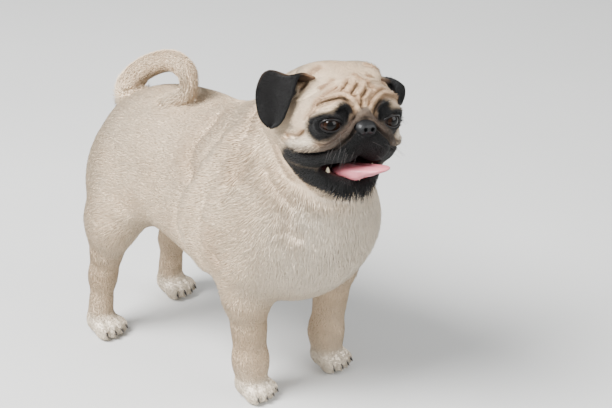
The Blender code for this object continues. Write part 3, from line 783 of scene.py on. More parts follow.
MASK = (
    [Egg((56, 0, -15), (24, 34, 22), blend=0.006, frame=HEAD),
     Egg((40, 0, -62), (28, 32, 18), blend=0.006, frame=HEAD)]
    + both(lambda s: Roll([(54, s * 16, -26), (42, s * 40, -36), (20, s * 56, -33)], 15, 9,
                          blend=0.004, frame=HEAD, steps=3))
    + both(lambda s: Roll([(42, s * 14, -62), (26, s * 34, -54), (10, s * 52, -40)], 16, 10,
                          blend=0.004, frame=HEAD, steps=3))
)
EYE_PATCHES = (
    both(lambda s: Egg((49, s * 35, -2), (21, 20, 16.5), blend=0.004, frame=HEAD))
    + both(lambda s: Egg((57, s * 21, 12), (12, 10, 12), blend=0.005, frame=HEAD))
    + both(lambda s: Egg((57, s * 20, -2), (12, 10, 8), blend=0.004, frame=HEAD))
)
EAR_BASES = both(lambda s: Roll([(2, s * 44, 26), (4, s * 58, 25)], 9.0, 7.0, frame=HEAD))
EAR_BLACK = np.array((0.0045, 0.0038, 0.0038))
EAR_BROWN = np.array((0.16, 0.095, 0.055))
MOLES = [Egg((23, -61, -5), (3.2, 3.2, 3.2), frame=HEAD), Egg((18, 1, -93), (2.6, 2.6, 2.6), frame=HEAD),
         Egg((22, 61, -6), (3.0, 3.0, 3.0), frame=HEAD)]
NOSE_ROLL = both(lambda s: Roll([(59, 0, 12), (59, s * 6, 9), (60, s * 14, 2), (61, s * 22, -6),
                                 (57, s * 31, -15), (51, s * 39, -21)], 6.0, 4.8, blend=0.002, frame=HEAD))
ROLL_END = both(lambda s: Roll([(53, s * 37, -19), (44, s * 48, -24), (33, s * 57, -26)], 4.8, 4.4,
                               frame=HEAD))


def painted(lumps, points, soft):
    """1 inside the lumps and 0 outside, fading over the soft border, in metres."""
    return 1 - step_up(-soft, soft, clay_distance(lumps, points))


def speckle(points, size):
    """A smooth pattern of patches without any grid, from -1 to 1, of about the given size."""
    total = np.zeros(len(points))
    ways = np.random.default_rng(5).normal(size=(9, 3))
    for k, way in enumerate(ways):
        way = way / np.linalg.norm(way)
        total += np.sin(points @ way * (2.2 + 0.35 * k) / size + 1.7 * k)
    return total / 4.5


def mixed(color, other, share):
    return color + (other - color) * np.asarray(share)[:, None]


def coat_colour(points, normals):
    """The colour of skin and hair at each point."""
    x, _, z = points.T
    local = in_head(points)
    face = head_share(points)
    color = np.repeat(CREAM[None], len(points), axis=0)
    color = mixed(color, TAN, 0.10 + 0.12 * speckle(points, 0.035))
    color = mixed(color, PALE, 0.75 * step_up(0.10, 0.19, x) * step_up(0.10, 0.16, z)
                  * (1 - step_up(0.24, 0.30, z)) * step_up(-0.1, 0.5, normals[:, 0]))
    color = mixed(color, PALE, 0.6 * (1 - step_up(0.10, 0.17, z)) * step_up(0.2, 0.9, -normals[:, 2]))
    color = mixed(color, TAN, 0.32 * (1 - step_up(0.10, 0.16, z)) * step_up(0.03, 0.06, z))
    color = mixed(color, PALE, 0.8 * (1 - step_up(0.018, 0.034, z)))
    color = mixed(color, TAN, 0.38 * face * (1 - step_up(0, 0.8, np.abs(local[:, 1]) / 60)))
    # Painted shade: the underside of the tail's curl is darker tan.
    color = mixed(color, TAN, 0.30 * tail_share(points) * step_up(0.0, 0.7, -normals[:, 2]))
    # Painted shade: a warm, darker border along every crease, weaker on the body.
    _, core, border = crease_share(points)
    color = mixed(color, FOLD_SHADE_TAN, 0.75 * border)
    near_face = face > 0.0
    spots = points[near_face]
    here = color[near_face]
    at = local[near_face]
    ragged = 0.0012 * speckle(spots, 0.0022)
    worn = spots + normals[near_face] * ragged[:, None]
    here = mixed(here, PALE, 0.6 * painted(both(
        lambda s: Roll([(40, s * 50, -17), (26, s * 60, -20)], 5.0, frame=HEAD)), worn, 0.004))
    here = mixed(here, GRIZZLE, 0.75 * painted(MASK, worn, 0.006))
    roll = painted(NOSE_ROLL, worn, 0.0025)
    end = painted(ROLL_END, worn, 0.003) * (0.62 + 0.5 * speckle(spots, 0.0012))
    mask = painted(MASK, worn + (ragged * 1.5)[:, None], 0.0035) * (1 - 0.80 * roll)
    here = mixed(here, GRIZZLE, np.maximum(0.92 * roll, np.clip(end, 0, 1)))
    here = mixed(here, BLACK, mask)
    here = mixed(here, BLACK, painted(EYE_PATCHES, worn, 0.003) * (1 - 0.8 * np.maximum(roll, end)))
    here = mixed(here, GRIZZLE, 0.75 * painted(MOLES, worn, 0.0012))
    # Painted shade: the dark core of each crease on the face, weaker on the black mask.
    here = mixed(here, CREASE_SHADE_BROWN, 0.92 * core[near_face] * (1 - 0.8 * mask))
    mouth = 1 - step_up(0.0004, 0.0022, mouth_hollow().distance(spots) + coat_depth(spots))
    here = mixed(here, LIP_BLACK, 1 - step_up(0.0015, 0.0045, mouth_hollow().distance(spots)))
    hollow = 1 - step_up(0.0, 0.003, clay_distance(EAR_BASES, spots) - 0.001)
    here = mixed(here, EAR_BLACK, hollow * step_up(46, 52, np.abs(at[:, 1])))
    here = mixed(here, MOUTH_RED, mouth)
    color[near_face] = here
    return np.clip(color, 0.004, 0.9)


def set_attribute(data, name, kind, values, domain="POINT"):
    """Stores values on the mesh under a name, for the materials and the hair."""
    old = data.attributes.get(name)
    if old:
        data.attributes.remove(old)
    attribute = data.attributes.new(name, kind, domain)
    key = {"FLOAT_COLOR": "color", "FLOAT_VECTOR": "vector"}.get(kind, "value")
    attribute.data.foreach_set(key, np.asarray(values, np.float32).ravel())


def with_alpha(color):
    return np.concatenate([color, np.ones((len(color), 1))], axis=1)


skin_points, skin_normals = points_of(skin), normals_of(skin)
skin_colour = coat_colour(skin_points, skin_normals)
set_attribute(skin.data, "coat", "FLOAT_COLOR", with_alpha(skin_colour))
wet = 1 - step_up(0.0002, 0.0020, mouth_hollow().distance(skin_points) + coat_depth(skin_points))
set_attribute(skin.data, "wet", "FLOAT", wet)
print("mean colour of the coat:", np.round(skin_colour.mean(0), 3))

# %% [markdown]
# ## Materials
# Every finish is made of nodes. A small helper writes the common ones: a colour from an attribute or a
# constant, mottled by noise, and a bump for the fine grain.

# %% Material helper


def node(tree, kind, at, **settings):
    made = tree.nodes.new(kind)
    made.location = at
    for key, value in settings.items():
        setattr(made, key, value)
    return made


def scaled(tree, vector, factor, at):
    """A node that multiplies the vector by the factor."""
    made = node(tree, "ShaderNodeVectorMath", at, operation="SCALE")
    tree.links.new(vector, made.inputs[0])
    tree.links.new(factor, made.inputs["Scale"])
    return made


def finish_of(name, color=None, attribute=None, roughness=0.6, mottle=(60.0, 0.12), bumps=(), sheen=0.0,
              coat=0.0, specular=0.5, flesh=0.0, wet=None):
    """A Principled material. Each bump is a noise scale, how fine it is and its height in millimetres."""
    material = bpy.data.materials.new(name)
    material.use_nodes = True
    tree = material.node_tree
    shader = tree.nodes["Principled BSDF"]
    place = node(tree, "ShaderNodeTexCoord", (-1300, 0))
    if attribute:
        base = node(tree, "ShaderNodeAttribute", (-900, 300), attribute_name=attribute).outputs["Color"]
    else:
        base = node(tree, "ShaderNodeRGB", (-900, 300)).outputs[0]
        base.default_value = (*color, 1.0)
    noise = node(tree, "ShaderNodeTexNoise", (-1000, 0))
    noise.inputs["Scale"].default_value = mottle[0]
    noise.inputs["Detail"].default_value = 6.0
    tree.links.new(place.outputs["Object"], noise.inputs["Vector"])
    change = node(tree, "ShaderNodeMapRange", (-800, 0))
    change.inputs["From Min"].default_value = 0.3
    change.inputs["From Max"].default_value = 0.7
    change.inputs["To Min"].default_value = 1.0 - mottle[1]
    change.inputs["To Max"].default_value = 1.0 + mottle[1]
    tree.links.new(noise.outputs["Fac"], change.inputs["Value"])
    shaded = scaled(tree, base, change.outputs["Result"], (-500, 250))
    tree.links.new(shaded.outputs[0], shader.inputs["Base Color"])
    shader.inputs["Roughness"].default_value = roughness
    if wet:
        share = node(tree, "ShaderNodeAttribute", (-900, -300), attribute_name=wet[0])
        smooth = node(tree, "ShaderNodeMapRange", (-500, -250))
        smooth.inputs["To Min"].default_value = roughness
        smooth.inputs["To Max"].default_value = wet[1]
        tree.links.new(share.outputs["Fac"], smooth.inputs["Value"])
        tree.links.new(smooth.outputs["Result"], shader.inputs["Roughness"])
    shader.inputs["Sheen Weight"].default_value = sheen
    shader.inputs["Sheen Roughness"].default_value = 0.5
    shader.inputs["Coat Weight"].default_value = coat
    shader.inputs["Coat Roughness"].default_value = 0.05
    shader.inputs["Specular IOR Level"].default_value = specular
    if flesh:
        shader.inputs["Subsurface Weight"].default_value = flesh
        shader.inputs["Subsurface Radius"].default_value = (1.0, 0.35, 0.2)
        shader.inputs["Subsurface Scale"].default_value = 0.004
    last = None
    for scale, detail, height in bumps:
        grain = node(tree, "ShaderNodeTexNoise", (-900, -600))
        grain.inputs["Scale"].default_value = scale
        grain.inputs["Detail"].default_value = detail
        tree.links.new(place.outputs["Object"], grain.inputs["Vector"])
        bump = node(tree, "ShaderNodeBump", (-400, -600))
        bump.inputs["Strength"].default_value = 1.0
        bump.inputs["Distance"].default_value = height * MM
        tree.links.new(grain.outputs["Fac"], bump.inputs["Height"])
        if last:
            tree.links.new(last.outputs["Normal"], bump.inputs["Normal"])
        last = bump
    if last:
        tree.links.new(last.outputs["Normal"], shader.inputs["Normal"])
    return material


COAT_FINISH = finish_of("short_coat", attribute="coat", roughness=0.75, mottle=(45, 0.10), sheen=0.05,
                        specular=0.18, bumps=((900, 4, 0.25), (220, 3, 0.5)), wet=("wet", 0.18))
print("coat finish has", len(COAT_FINISH.node_tree.nodes), "nodes")

# %% [markdown]
# ## Putting a piece in place
# A finished piece sits at the origin, unturned, with its place in its mesh. It rides on the one body of the
# frame and stands for the solids that it replaces.

# %% Finish a piece


def finished(obj, material, slot, *replaced, smooth=True):
    obj.data.materials.clear()
    obj.data.materials.append(material)
    if smooth:
        obj.data.shade_smooth()
    obj.data.transform(Matrix.Translation(SHIFT))
    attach(obj, "root")
    if replaced:
        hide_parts(*replaced)
    return obj


FLESH_NODES = [name for name in frame["nodes"]
               if name.split("_")[0] in ("head", "lower", "neck", "torso", "tail", "thigh", "foreleg",
                                         "hind", "front")]
print("nodes of flesh:", len(FLESH_NODES))

# %% [markdown]
# ## Eyes
# A pug's eyes are large, round and dark, and so wet that they mirror the light. The ball carries a steeper
# dome in front, the cornea. Pupil, iris and white are rings round the line of sight, so the mesh stores for
# each point its angle from that line, and the material reads it. The cornea is part of a smaller ball, given
# by how far ahead its middle lies and by the square of its radius, in millimetres.

# %% Eyeballs
CORNEA_AHEAD = 5.0
CORNEA_SQUARE = 68.0
CORNEA_WIDE = 1.2


def eyeball(side):
    """A ball with its pole in the line of sight, and the bulge of the cornea."""
    mesh = bmesh.new()
    bmesh.ops.create_uvsphere(mesh, u_segments=56, v_segments=48, radius=1.0)
    look = gaze(side)
    turn = look.to_track_quat("Z", "Y").to_matrix()
    rings = []
    for vert in mesh.verts:
        angle = vert.co.angle(Vector((0, 0, 1)))
        dome = CORNEA_SQUARE - (CORNEA_AHEAD * math.sin(angle)) ** 2
        out = EYE_RADIUS
        if dome > 0 and angle < CORNEA_WIDE:
            out = max(out, CORNEA_AHEAD * math.cos(angle) + math.sqrt(dome))
        rings.append(angle / math.pi)
        vert.co = HEAD @ (Vector((EYE.x, side * EYE.y, EYE.z)) + turn @ vert.co * out)
    data = data_of(mesh, "eyeball_" + SIDES[side > 0][0])
    set_attribute(data, "ring", "FLOAT", rings)
    return mesh_object(data.name, data)


def eye_finish():
    """Black pupil, brown iris with fine rays, a dark rim and the pinkish white, under a clear wet coat."""
    material = finish_of("wet_eye", color=(1, 1, 1), roughness=0.10, mottle=(900, 0.25),
                         coat=0.22, specular=0.08)
    tree = material.node_tree
    ring = node(tree, "ShaderNodeAttribute", (-1200, 500), attribute_name="ring")
    ramp = node(tree, "ShaderNodeValToRGB", (-900, 550))
    stops = ((0.0, (0.001, 0.001, 0.001)), (0.105, (0.001, 0.001, 0.001)), (0.125, (0.008, 0.003, 0.001)),
             (0.19, (0.014, 0.005, 0.002)), (0.225, (0.003, 0.002, 0.001)), (0.27, (0.035, 0.020, 0.018)),
             (1.0, (0.12, 0.06, 0.05)))
    while len(ramp.color_ramp.elements) < len(stops):
        ramp.color_ramp.elements.new(0.5)
    for element, (place, color) in zip(ramp.color_ramp.elements, stops):
        element.position = place
        element.color = (*color, 1.0)
    tree.links.new(ring.outputs["Fac"], ramp.inputs["Fac"])
    shaded = next(n for n in tree.nodes if n.bl_idname == "ShaderNodeVectorMath")
    tree.links.new(ramp.outputs["Color"], shaded.inputs[0])
    return material


EYE_FINISH = eye_finish()
for name, side in SIDES:
    finished(eyeball(side), EYE_FINISH, "eye", "eye_" + name)
print("eyeball radius in mm:", EYE_RADIUS)

# %% [markdown]
# ## Things that follow a path
# Lid rims and whiskers are thin round strands along a path. One small tree of Geometry Nodes turns the edges
# of a guide mesh into strands: the guide's own "thick" value tapers each of them.

# %% A tree for strands


def socket(node_made, name, outputs=False):
    """The enabled socket of that name."""
    side = node_made.outputs if outputs else node_made.inputs
    return next(s for s in side if s.name == name and s.enabled)


def read_attribute(tree, name, kind, at):
    """A node's output that reads the attribute of that name."""
    made = node(tree, "GeometryNodeInputNamedAttribute", at, data_type=kind)
    made.inputs["Name"].default_value = name
    return socket(made, "Attribute", outputs=True)


def new_tree(name, *inputs):
    """An empty tree with a geometry input, the named inputs and a geometry output."""
    tree = bpy.data.node_groups.new(name, "GeometryNodeTree")
    tree.interface.new_socket("Geometry", in_out="INPUT", socket_type="NodeSocketGeometry")
    for title, kind, value in inputs:
        made = tree.interface.new_socket(title, in_out="INPUT", socket_type=kind)
        if value is not None:
            made.default_value = value
    tree.interface.new_socket("Geometry", in_out="OUTPUT", socket_type="NodeSocketGeometry")
    return tree, node(tree, "NodeGroupInput", (-1400, 0)), node(tree, "NodeGroupOutput", (1600, 0))


def multiplied(tree, first, second, at):
    """The product of two values."""
    made = node(tree, "ShaderNodeMath", at, operation="MULTIPLY")
    tree.links.new(first, made.inputs[0])
    tree.links.new(second, made.inputs[1])
    return made.outputs["Value"]


def realized(tree, geometry, at):
    """The copies in the geometry, turned into real mesh."""
    real = node(tree, "GeometryNodeRealizeInstances", at)
    tree.links.new(geometry, real.inputs["Geometry"])
    return real.outputs["Geometry"]


def ended(tree, geometry, start, end):
    """Gives the geometry its finish and hands it to the output of the tree."""
    paint = node(tree, "GeometryNodeSetMaterial", (1300, 0))
    tree.links.new(geometry, paint.inputs["Geometry"])
    tree.links.new(start.outputs["Finish"], paint.inputs["Material"])
    tree.links.new(paint.outputs["Geometry"], end.inputs["Geometry"])
    return tree


def strand_tree():
    tree, start, end = new_tree("strands", ("Thickness", "NodeSocketFloat", 0.001),
                                ("Sides", "NodeSocketInt", 6), ("Finish", "NodeSocketMaterial", None))
    curve = node(tree, "GeometryNodeMeshToCurve", (-1000, 0))
    tree.links.new(start.outputs["Geometry"], curve.inputs["Mesh"])
    thick = read_attribute(tree, "thick", "FLOAT", (-1200, -200))
    thick = multiplied(tree, thick, start.outputs["Thickness"], (-1000, -200))
    radius = node(tree, "GeometryNodeSetCurveRadius", (-700, 0))
    tree.links.new(curve.outputs["Curve"], radius.inputs["Curve"])
    tree.links.new(thick, radius.inputs["Radius"])
    ring = node(tree, "GeometryNodeCurvePrimitiveCircle", (-700, -300))
    ring.inputs["Radius"].default_value = 1.0
    tree.links.new(start.outputs["Sides"], ring.inputs["Resolution"])
    tube = node(tree, "GeometryNodeCurveToMesh", (-400, 0))
    tube.inputs["Fill Caps"].default_value = True
    tree.links.new(radius.outputs["Curve"], tube.inputs["Curve"])
    tree.links.new(ring.outputs["Curve"], tube.inputs["Profile Curve"])
    if "Scale" in tube.inputs:
        reading = node(tree, "GeometryNodeInputRadius", (-600, -200))
        tree.links.new(reading.outputs["Radius"], tube.inputs["Scale"])
    return ended(tree, realized(tree, tube.outputs["Mesh"], (0, 0)), start, end)


def grown_by(guide, tree, name, **inputs):
    """The mesh that the tree makes from the guide, as an object of its own. The guide is removed."""
    modifier = guide.modifiers.new("grow", "NODES")
    modifier.node_group = tree
    for item in tree.interface.items_tree:
        if item.in_out == "INPUT" and item.name in inputs:
            modifier[item.identifier] = inputs[item.name]
    graph = bpy.context.evaluated_depsgraph_get()
    data = bpy.data.meshes.new_from_object(guide.evaluated_get(graph))
    removed(guide)
    data.name = name
    return mesh_object(name, data)


def path_guide(name, paths, thicks, closed=False):
    """A guide mesh of edges only: one chain of points for each path."""
    verts, edges, thick = [], [], []
    for path, widths in zip(paths, thicks):
        first = len(verts)
        verts += [tuple(p) for p in path]
        thick += list(widths)
        edges += [(first + i, first + i + 1) for i in range(len(path) - 1)]
        if closed:
            edges.append((first + len(path) - 1, first))
    data = bpy.data.meshes.new(name)
    data.from_pydata(verts, edges, [])
    set_attribute(data, "thick", "FLOAT", thick)
    return mesh_object(name, data)


STRANDS = strand_tree()
print("strand tree has", len(STRANDS.nodes), "nodes")

# %% [markdown]
# ## Lids
# Round each eye the lid ends in a narrow, black, wet rim that lies on the eyeball. It is a closed path in the
# shape of an almond, raised onto the ball.

# %% Lid rims
LID_WIDE, LID_HIGH = 10.8, 6.0
LID_BALL = 12.9
LID_POINTS = 48
LID_THICKNESS = 0.95 * MM


def lid_path(side, wide, high, radius):
    """A closed almond on a ball round the eye's middle."""
    turn = gaze(side).to_track_quat("Z", "Y").to_matrix()
    middle = Vector((EYE.x, side * EYE.y, EYE.z))
    path = []
    for k in range(LID_POINTS):
        angle = 2 * math.pi * k / LID_POINTS
        across, up = wide * math.cos(angle), high * math.sin(angle)
        ahead = math.sqrt(max(radius**2 - across**2 - up**2, 1.0))
        over = gaze(side).cross(Vector((0, 0, 1))).normalized()
        place = middle + gaze(side) * ahead + over * across + Vector((0, 0, 1)) * up
        path.append(HEAD @ place)
    return path


LID_FINISH = finish_of("lid_rim", color=(0.006, 0.005, 0.005), roughness=0.4, coat=0.15, specular=0.2,
                       bumps=((1500, 3, 0.1),))
for name, side in SIDES:
    almond = lid_path(side, LID_WIDE, LID_HIGH, LID_BALL)
    guide = path_guide("lid_guide", [almond], [[1.0] * LID_POINTS], closed=True)
    rim = grown_by(guide, STRANDS, "lid_rim_" + name, Thickness=LID_THICKNESS, Sides=8, Finish=LID_FINISH)
    finished(rim, LID_FINISH, "mask")
print("lid opening in mm:", LID_WIDE * 2, "x", LID_HIGH * 2)

# %% [markdown]
# ## Nose
# The nose leather is black, broad and pebbled, with a groove down its middle and two comma-shaped nostrils.
# It is clay again, with a much finer mesh.

# %% Nose leather


def clay_piece(name, lumps, hollows, voxel):
    """A closed piece of clay with its own fine mesh."""
    piece = remeshed(ball_mesh(lumps), voxel)
    drawn_to(piece, lambda p: clay_distance(lumps, p), 3, voxel)
    remeshed(hollowed(piece, hollows), voxel)
    drawn_to(piece, lambda p: clay_distance(lumps, p, hollows), 4, voxel)
    piece.name = name
    return biggest_part(piece)


def nose_leather():
    lumps = [Egg((57.5, 0, -1.5), (10.6, 10.0, 7.2), turned=(0, -10, 0), frame=HEAD)]
    hollows = [Roll([(70, 0, 1), (69, 0, -5), (64, 0, -10)], 0.7, 0.5, blend=0.0012, frame=HEAD)]
    for _, side in SIDES:
        lumps.append(Egg((59, side * 5.2, -2.5), (9.5, 5.6, 6.5), blend=0.004, frame=HEAD))
        hollows.append(Egg((69, side * 3.9, -2.0), (5, 2.1, 2.2), blend=0.0008, frame=HEAD))
        hollows.append(Roll([(68, side * 5.4, -2.8), (65, side * 8.6, -4.2), (61, side * 11, -4.4)], 1.2, 0.7,
                            blend=0.0008, frame=HEAD))
    return clay_piece("nose_leather", lumps, hollows, 0.5 * MM)


NOSE_FINISH = finish_of("wet_nose", color=(0.006, 0.006, 0.0065), roughness=0.5, mottle=(700, 0.4),
                        coat=0.12, specular=0.2, bumps=((1500, 2, 0.35), (500, 2, 0.2)))
nose = finished(nose_leather(), NOSE_FINISH, "nose", "nose")
print("nose:", triangle_count(nose), "triangles")

# %% [markdown]
# ## Tongue
# The tongue is broad and limp, hollowed along its middle, and comes out over the lip to the dog's left.

# %% Tongue


def tongue_clay():
    lumps = [
        Egg((35, 0, -51), (17, 17, 5.5), frame=HEAD),
        Egg((48, 3, -47.5), (18, 16, 5.4), turned=(0, -6, 8), blend=0.008, frame=HEAD),
        Egg((66, 9.5, -43.0), (18, 12.5, 3.8), turned=(6, -14, 20), blend=0.008, frame=HEAD),
        Egg((55, -6, -49.5), (8, 5, 4.5), turned=(-30, 0, 20), blend=0.005, frame=HEAD),
    ]
    groove = [Roll([(24, 0, -41), (48, 3, -39.5), (76, 13, -33)], 4.0, 3.0, blend=0.004, frame=HEAD)]
    return clay_piece("tongue_flesh", lumps, groove, 0.8 * MM)


TONGUE_FINISH = finish_of("tongue_pink", color=(0.52, 0.155, 0.185), roughness=0.42, mottle=(140, 0.12),
                          coat=0.15, flesh=0.12, bumps=((1300, 2, 0.3), (160, 2, 0.4)))
tongue = finished(tongue_clay(), TONGUE_FINISH, "tongue", "tongue")
print("tongue:", triangle_count(tongue), "triangles")

# %% [markdown]
# ## Things that repeat
# Teeth and claws are copies of one small shape, set at given places and turned and sized one by one. A second
# tree does that: each point of a guide mesh carries where its copy points to, which way is up, and its size.

# %% A tree for copies


def copies_tree():
    tree, start, end = new_tree("copies", ("Shape", "NodeSocketObject", None),
                                ("Finish", "NodeSocketMaterial", None))
    points = node(tree, "GeometryNodeMeshToPoints", (-1000, 0))
    tree.links.new(start.outputs["Geometry"], points.inputs["Mesh"])
    shape = node(tree, "GeometryNodeObjectInfo", (-1000, -300))
    tree.links.new(start.outputs["Shape"], shape.inputs["Object"])
    turn = node(tree, "FunctionNodeAxesToRotation", (-700, -300), primary_axis="X", secondary_axis="Z")
    tree.links.new(read_attribute(tree, "ahead", "FLOAT_VECTOR", (-900, -500)), turn.inputs["Primary Axis"])
    tree.links.new(read_attribute(tree, "above", "FLOAT_VECTOR", (-900, -650)), turn.inputs["Secondary Axis"])
    put = node(tree, "GeometryNodeInstanceOnPoints", (-400, 0))
    tree.links.new(points.outputs["Points"], put.inputs["Points"])
    tree.links.new(shape.outputs["Geometry"], put.inputs["Instance"])
    tree.links.new(turn.outputs["Rotation"], put.inputs["Rotation"])
    tree.links.new(read_attribute(tree, "size", "FLOAT_VECTOR", (-700, -600)), put.inputs["Scale"])
    return ended(tree, realized(tree, put.outputs["Instances"], (0, 0)), start, end)


def place_guide(name, spots):
    """A guide of loose points: each spot has its place, where it points, which way is up, and its size."""
    data = bpy.data.meshes.new(name)
    data.from_pydata([tuple(s[0]) for s in spots], [], [])
    for key, column in (("ahead", 1), ("above", 2), ("size", 3)):
        set_attribute(data, key, "FLOAT_VECTOR", [tuple(s[column]) for s in spots])
    return mesh_object(name, data)


def horn(name, bend, blunt, sides=9, rings=7):
    """A curved taper along X, one unit long, from a root of one unit's radius to a blunt tip."""
    mesh = bmesh.new()
    bmesh.ops.create_cone(mesh, cap_ends=True, segments=sides, radius1=1.0, radius2=1.0, depth=1.0)
    long_edges = [e for e in mesh.edges if abs(e.verts[0].co.z - e.verts[1].co.z) > 0.5]
    bmesh.ops.subdivide_edges(mesh, edges=long_edges, cuts=rings)
    for vert in mesh.verts:
        share = vert.co.z + 0.5
        thin = (1 - share) ** 0.6 * (1 - blunt) + blunt * math.sqrt(max(0.0, 1 - share**4))
        thin = max(thin, 0.06)
        vert.co = Vector((share, vert.co.x * thin, vert.co.y * thin - bend * share**2))
    bmesh.ops.recalc_face_normals(mesh, faces=mesh.faces)
    data = data_of(mesh, name)
    data.shade_smooth()
    return mesh_object(name, data)


COPIES = copies_tree()
print("copies tree has", len(COPIES.nodes), "nodes")

# %% Teeth and claws
HEAD_TURN = HEAD.to_quaternion()


def tooth_spots():
    spots = []
    up = HEAD_TURN @ Vector((0, 0, 1))
    front = HEAD_TURN @ Vector((1, 0, 0))
    for place in (-2.5, -1.5, -0.5, 0.5, 1.5, 2.5):
        root = HEAD @ Vector((51 - 0.7 * place * place, place * 4.4, -57.5))
        spots.append((root, up, front, (5.6 * MM, 2.0 * MM, 1.5 * MM)))
    for _, side in SIDES:
        root = HEAD @ Vector((35, side * 24, -54))
        out = HEAD_TURN @ Vector((0.10, side * 0.14, 1)).normalized()
        spots.append((root, out, front, (9.0 * MM, 2.9 * MM, 2.7 * MM)))
    return spots


def claw_spots():
    spots = []
    for foot in FOOT_X:
        x, y = FOOT_X[foot], FOOT_Y[foot]
        for place in TOE_PLACES:
            swing = math.radians(place * 7)
            ahead = Vector((math.cos(swing) * 0.85, math.sin(swing) * 0.85, -0.50)).normalized()
            root = Vector((x + toe_reach(place) + 0.0085, y + place * TOE_SPACING * 1.06, 0.0118))
            spots.append((root, ahead, Vector((0, 0, 1)), (8.0 * MM, 1.8 * MM, 2.1 * MM)))
    return spots


TOOTH_FINISH = finish_of("tooth_cream", color=(0.72, 0.62, 0.44), roughness=0.28, mottle=(300, 0.15),
                         coat=0.3, bumps=((400, 2, 0.1),))
CLAW_FINISH = finish_of("claw_horn", color=(0.030, 0.024, 0.020), roughness=0.38, mottle=(400, 0.35),
                        bumps=((600, 3, 0.15),))
tooth_shape = horn("tooth_shape", 0.0, 0.35)
tooth_guide = place_guide("tooth_guide", tooth_spots())
teeth = grown_by(tooth_guide, COPIES, "teeth", Shape=tooth_shape, Finish=TOOTH_FINISH)
removed(tooth_shape)
claw_shape = horn("claw_shape", 0.9, 0.25)
claw_guide = place_guide("claw_guide", claw_spots())
claws = grown_by(claw_guide, COPIES, "claws", Shape=claw_shape, Finish=CLAW_FINISH)
removed(claw_shape)
finished(teeth, TOOTH_FINISH, "pale")
finished(claws, CLAW_FINISH, "mask")
print("teeth:", triangle_count(teeth), "claws:", triangle_count(claws), "triangles")

# %% [markdown]
# ## Ears
# The ears are small, thin and black: each rises from the skull, folds over and hangs beside the cheek. The
# flap is a sheet bent along a course, thickened, with the soft fold of its hem in a brownish tone.

# %% Ear flaps
EAR_ROOT = Vector((3, 38, 37))
EAR_CREST = Vector((-1, 60, 42))
EAR_SIDE = Vector((2, 71, 21))
EAR_TIP = Vector((7, 76, -9))
LEFT_EAR_MOVE = ((0, -4, -5), (-4, 4, -14), (-8, 6, -5), (-9, 2, 12))
FLAP_WAY = {-1: (-0.88, 0.47, -0.02), 1: (-0.72, 0.69, -0.06)}
EAR_HALF_WIDTH = 22.4
EAR_THICKNESS = 2.6


def ear_point(u, v, side):
    """A place on the ear: u runs from its front edge to its back edge, v from the root to the tip."""
    places = [EAR_ROOT, EAR_CREST, EAR_SIDE, EAR_TIP]
    if side > 0:
        places = [place + Vector(move) for place, move in zip(places, LEFT_EAR_MOVE)]
    course = smooth_path(places, 12)
    place = v * (len(course) - 1)
    first = min(int(place), len(course) - 2)
    middle = course[first].lerp(course[first + 1], place - first)
    rounding = math.sqrt(max(0.0, 1.0 - max(0.0, (v - 0.62) / 0.385) ** 3))
    half = EAR_HALF_WIDTH * (0.86 + 0.16 * math.sin(math.pi * min(1.0, v * 1.2))) * rounding
    root_way = Vector((-0.97, 0.10, -0.22))
    way = root_way.lerp(Vector(FLAP_WAY[side]), min(1.0, v * 1.6)).normalized()
    ahead = course[min(first + 1, len(course) - 1)] - course[first]
    up = ahead.cross(way).normalized()
    bow = 5.0 * (1.0 - u * u) * (1.0 - 0.5 * v)
    ripple = 0.9 * math.sin(5.0 * u + 3.0 * v) * v
    return middle + way * (u * half) - up * (bow + ripple)


def ear_flap(side):
    rows, columns = 34, 26
    flip = Matrix.Diagonal((1, side, 1, 1))
    mesh = bmesh.new()
    made = bmesh.ops.create_grid(mesh, x_segments=columns - 1, y_segments=rows - 1, size=1.0)
    hems, ways = [], []
    for vert in made["verts"]:
        u, v = vert.co.x, (vert.co.y + 1) / 2
        ahead = ear_point(u, min(v + 0.02, 1.0), side) - ear_point(u, max(v - 0.02, 0.0), side)
        ways.append(HEAD_TURN @ (flip @ ahead).normalized())
        hems.append((u, v))
        vert.co = HEAD @ (flip @ ear_point(u, v, side))
    bmesh.ops.recalc_face_normals(mesh, faces=mesh.faces)
    data = data_of(mesh, "ear_flap_" + SIDES[side > 0][0])
    set_attribute(data, "lie", "FLOAT_VECTOR", [tuple(w) for w in ways])
    at = np.array(hems)
    base = (1 - step_up(0.10, 0.32, at[:, 1])) * (0.35 + 0.65 * (1 - step_up(-0.3, 0.5, at[:, 0])))
    color = mixed(np.repeat(EAR_BLACK[None], len(hems), axis=0), EAR_BROWN, 0.85 * base)
    color = mixed(color, EAR_BROWN, 0.3 * step_up(0.86, 0.98, at[:, 0]) * (1 - step_up(0.4, 0.7, at[:, 1])))
    set_attribute(data, "coat", "FLOAT_COLOR", with_alpha(color))
    flap = mesh_object(data.name, data)
    thick = flap.modifiers.new("thickness", "SOLIDIFY")
    thick.thickness = EAR_THICKNESS * MM
    thick.offset = 0.0
    thick.use_even_offset = False
    soft = flap.modifiers.new("soft", "SUBSURF")
    soft.levels = 1
    soft.render_levels = 1
    return applied(flap)


EAR_FINISH = finish_of("ear_velvet", attribute="coat", roughness=0.85, mottle=(90, 0.25), sheen=0.08,
                       specular=0.15, bumps=((1200, 4, 0.25), (120, 2, 0.6)), wet=("wet", 0.5))
ears = {side: ear_flap(side) for _, side in SIDES}
print("ear flap:", triangle_count(ears[1]), "triangles")

# %% [markdown]
# ## The coat
# A pug's coat is short and lies flat, so each lock of hair is a thin, low spike, pointed at both ends. Nearly
# three hundred thousand of them are strewn over the skin by a tree of Geometry Nodes. The skin tells each
# lock which way the hair lies, how long and how wide it is and how far it stands up.

# %% How the hair lies


def unit_rows(ways):
    return ways / np.maximum(np.linalg.norm(ways, axis=1, keepdims=True), 1e-9)


def toward(ways, other, share):
    return ways + (np.asarray(other, float) - ways) * np.asarray(share)[:, None]


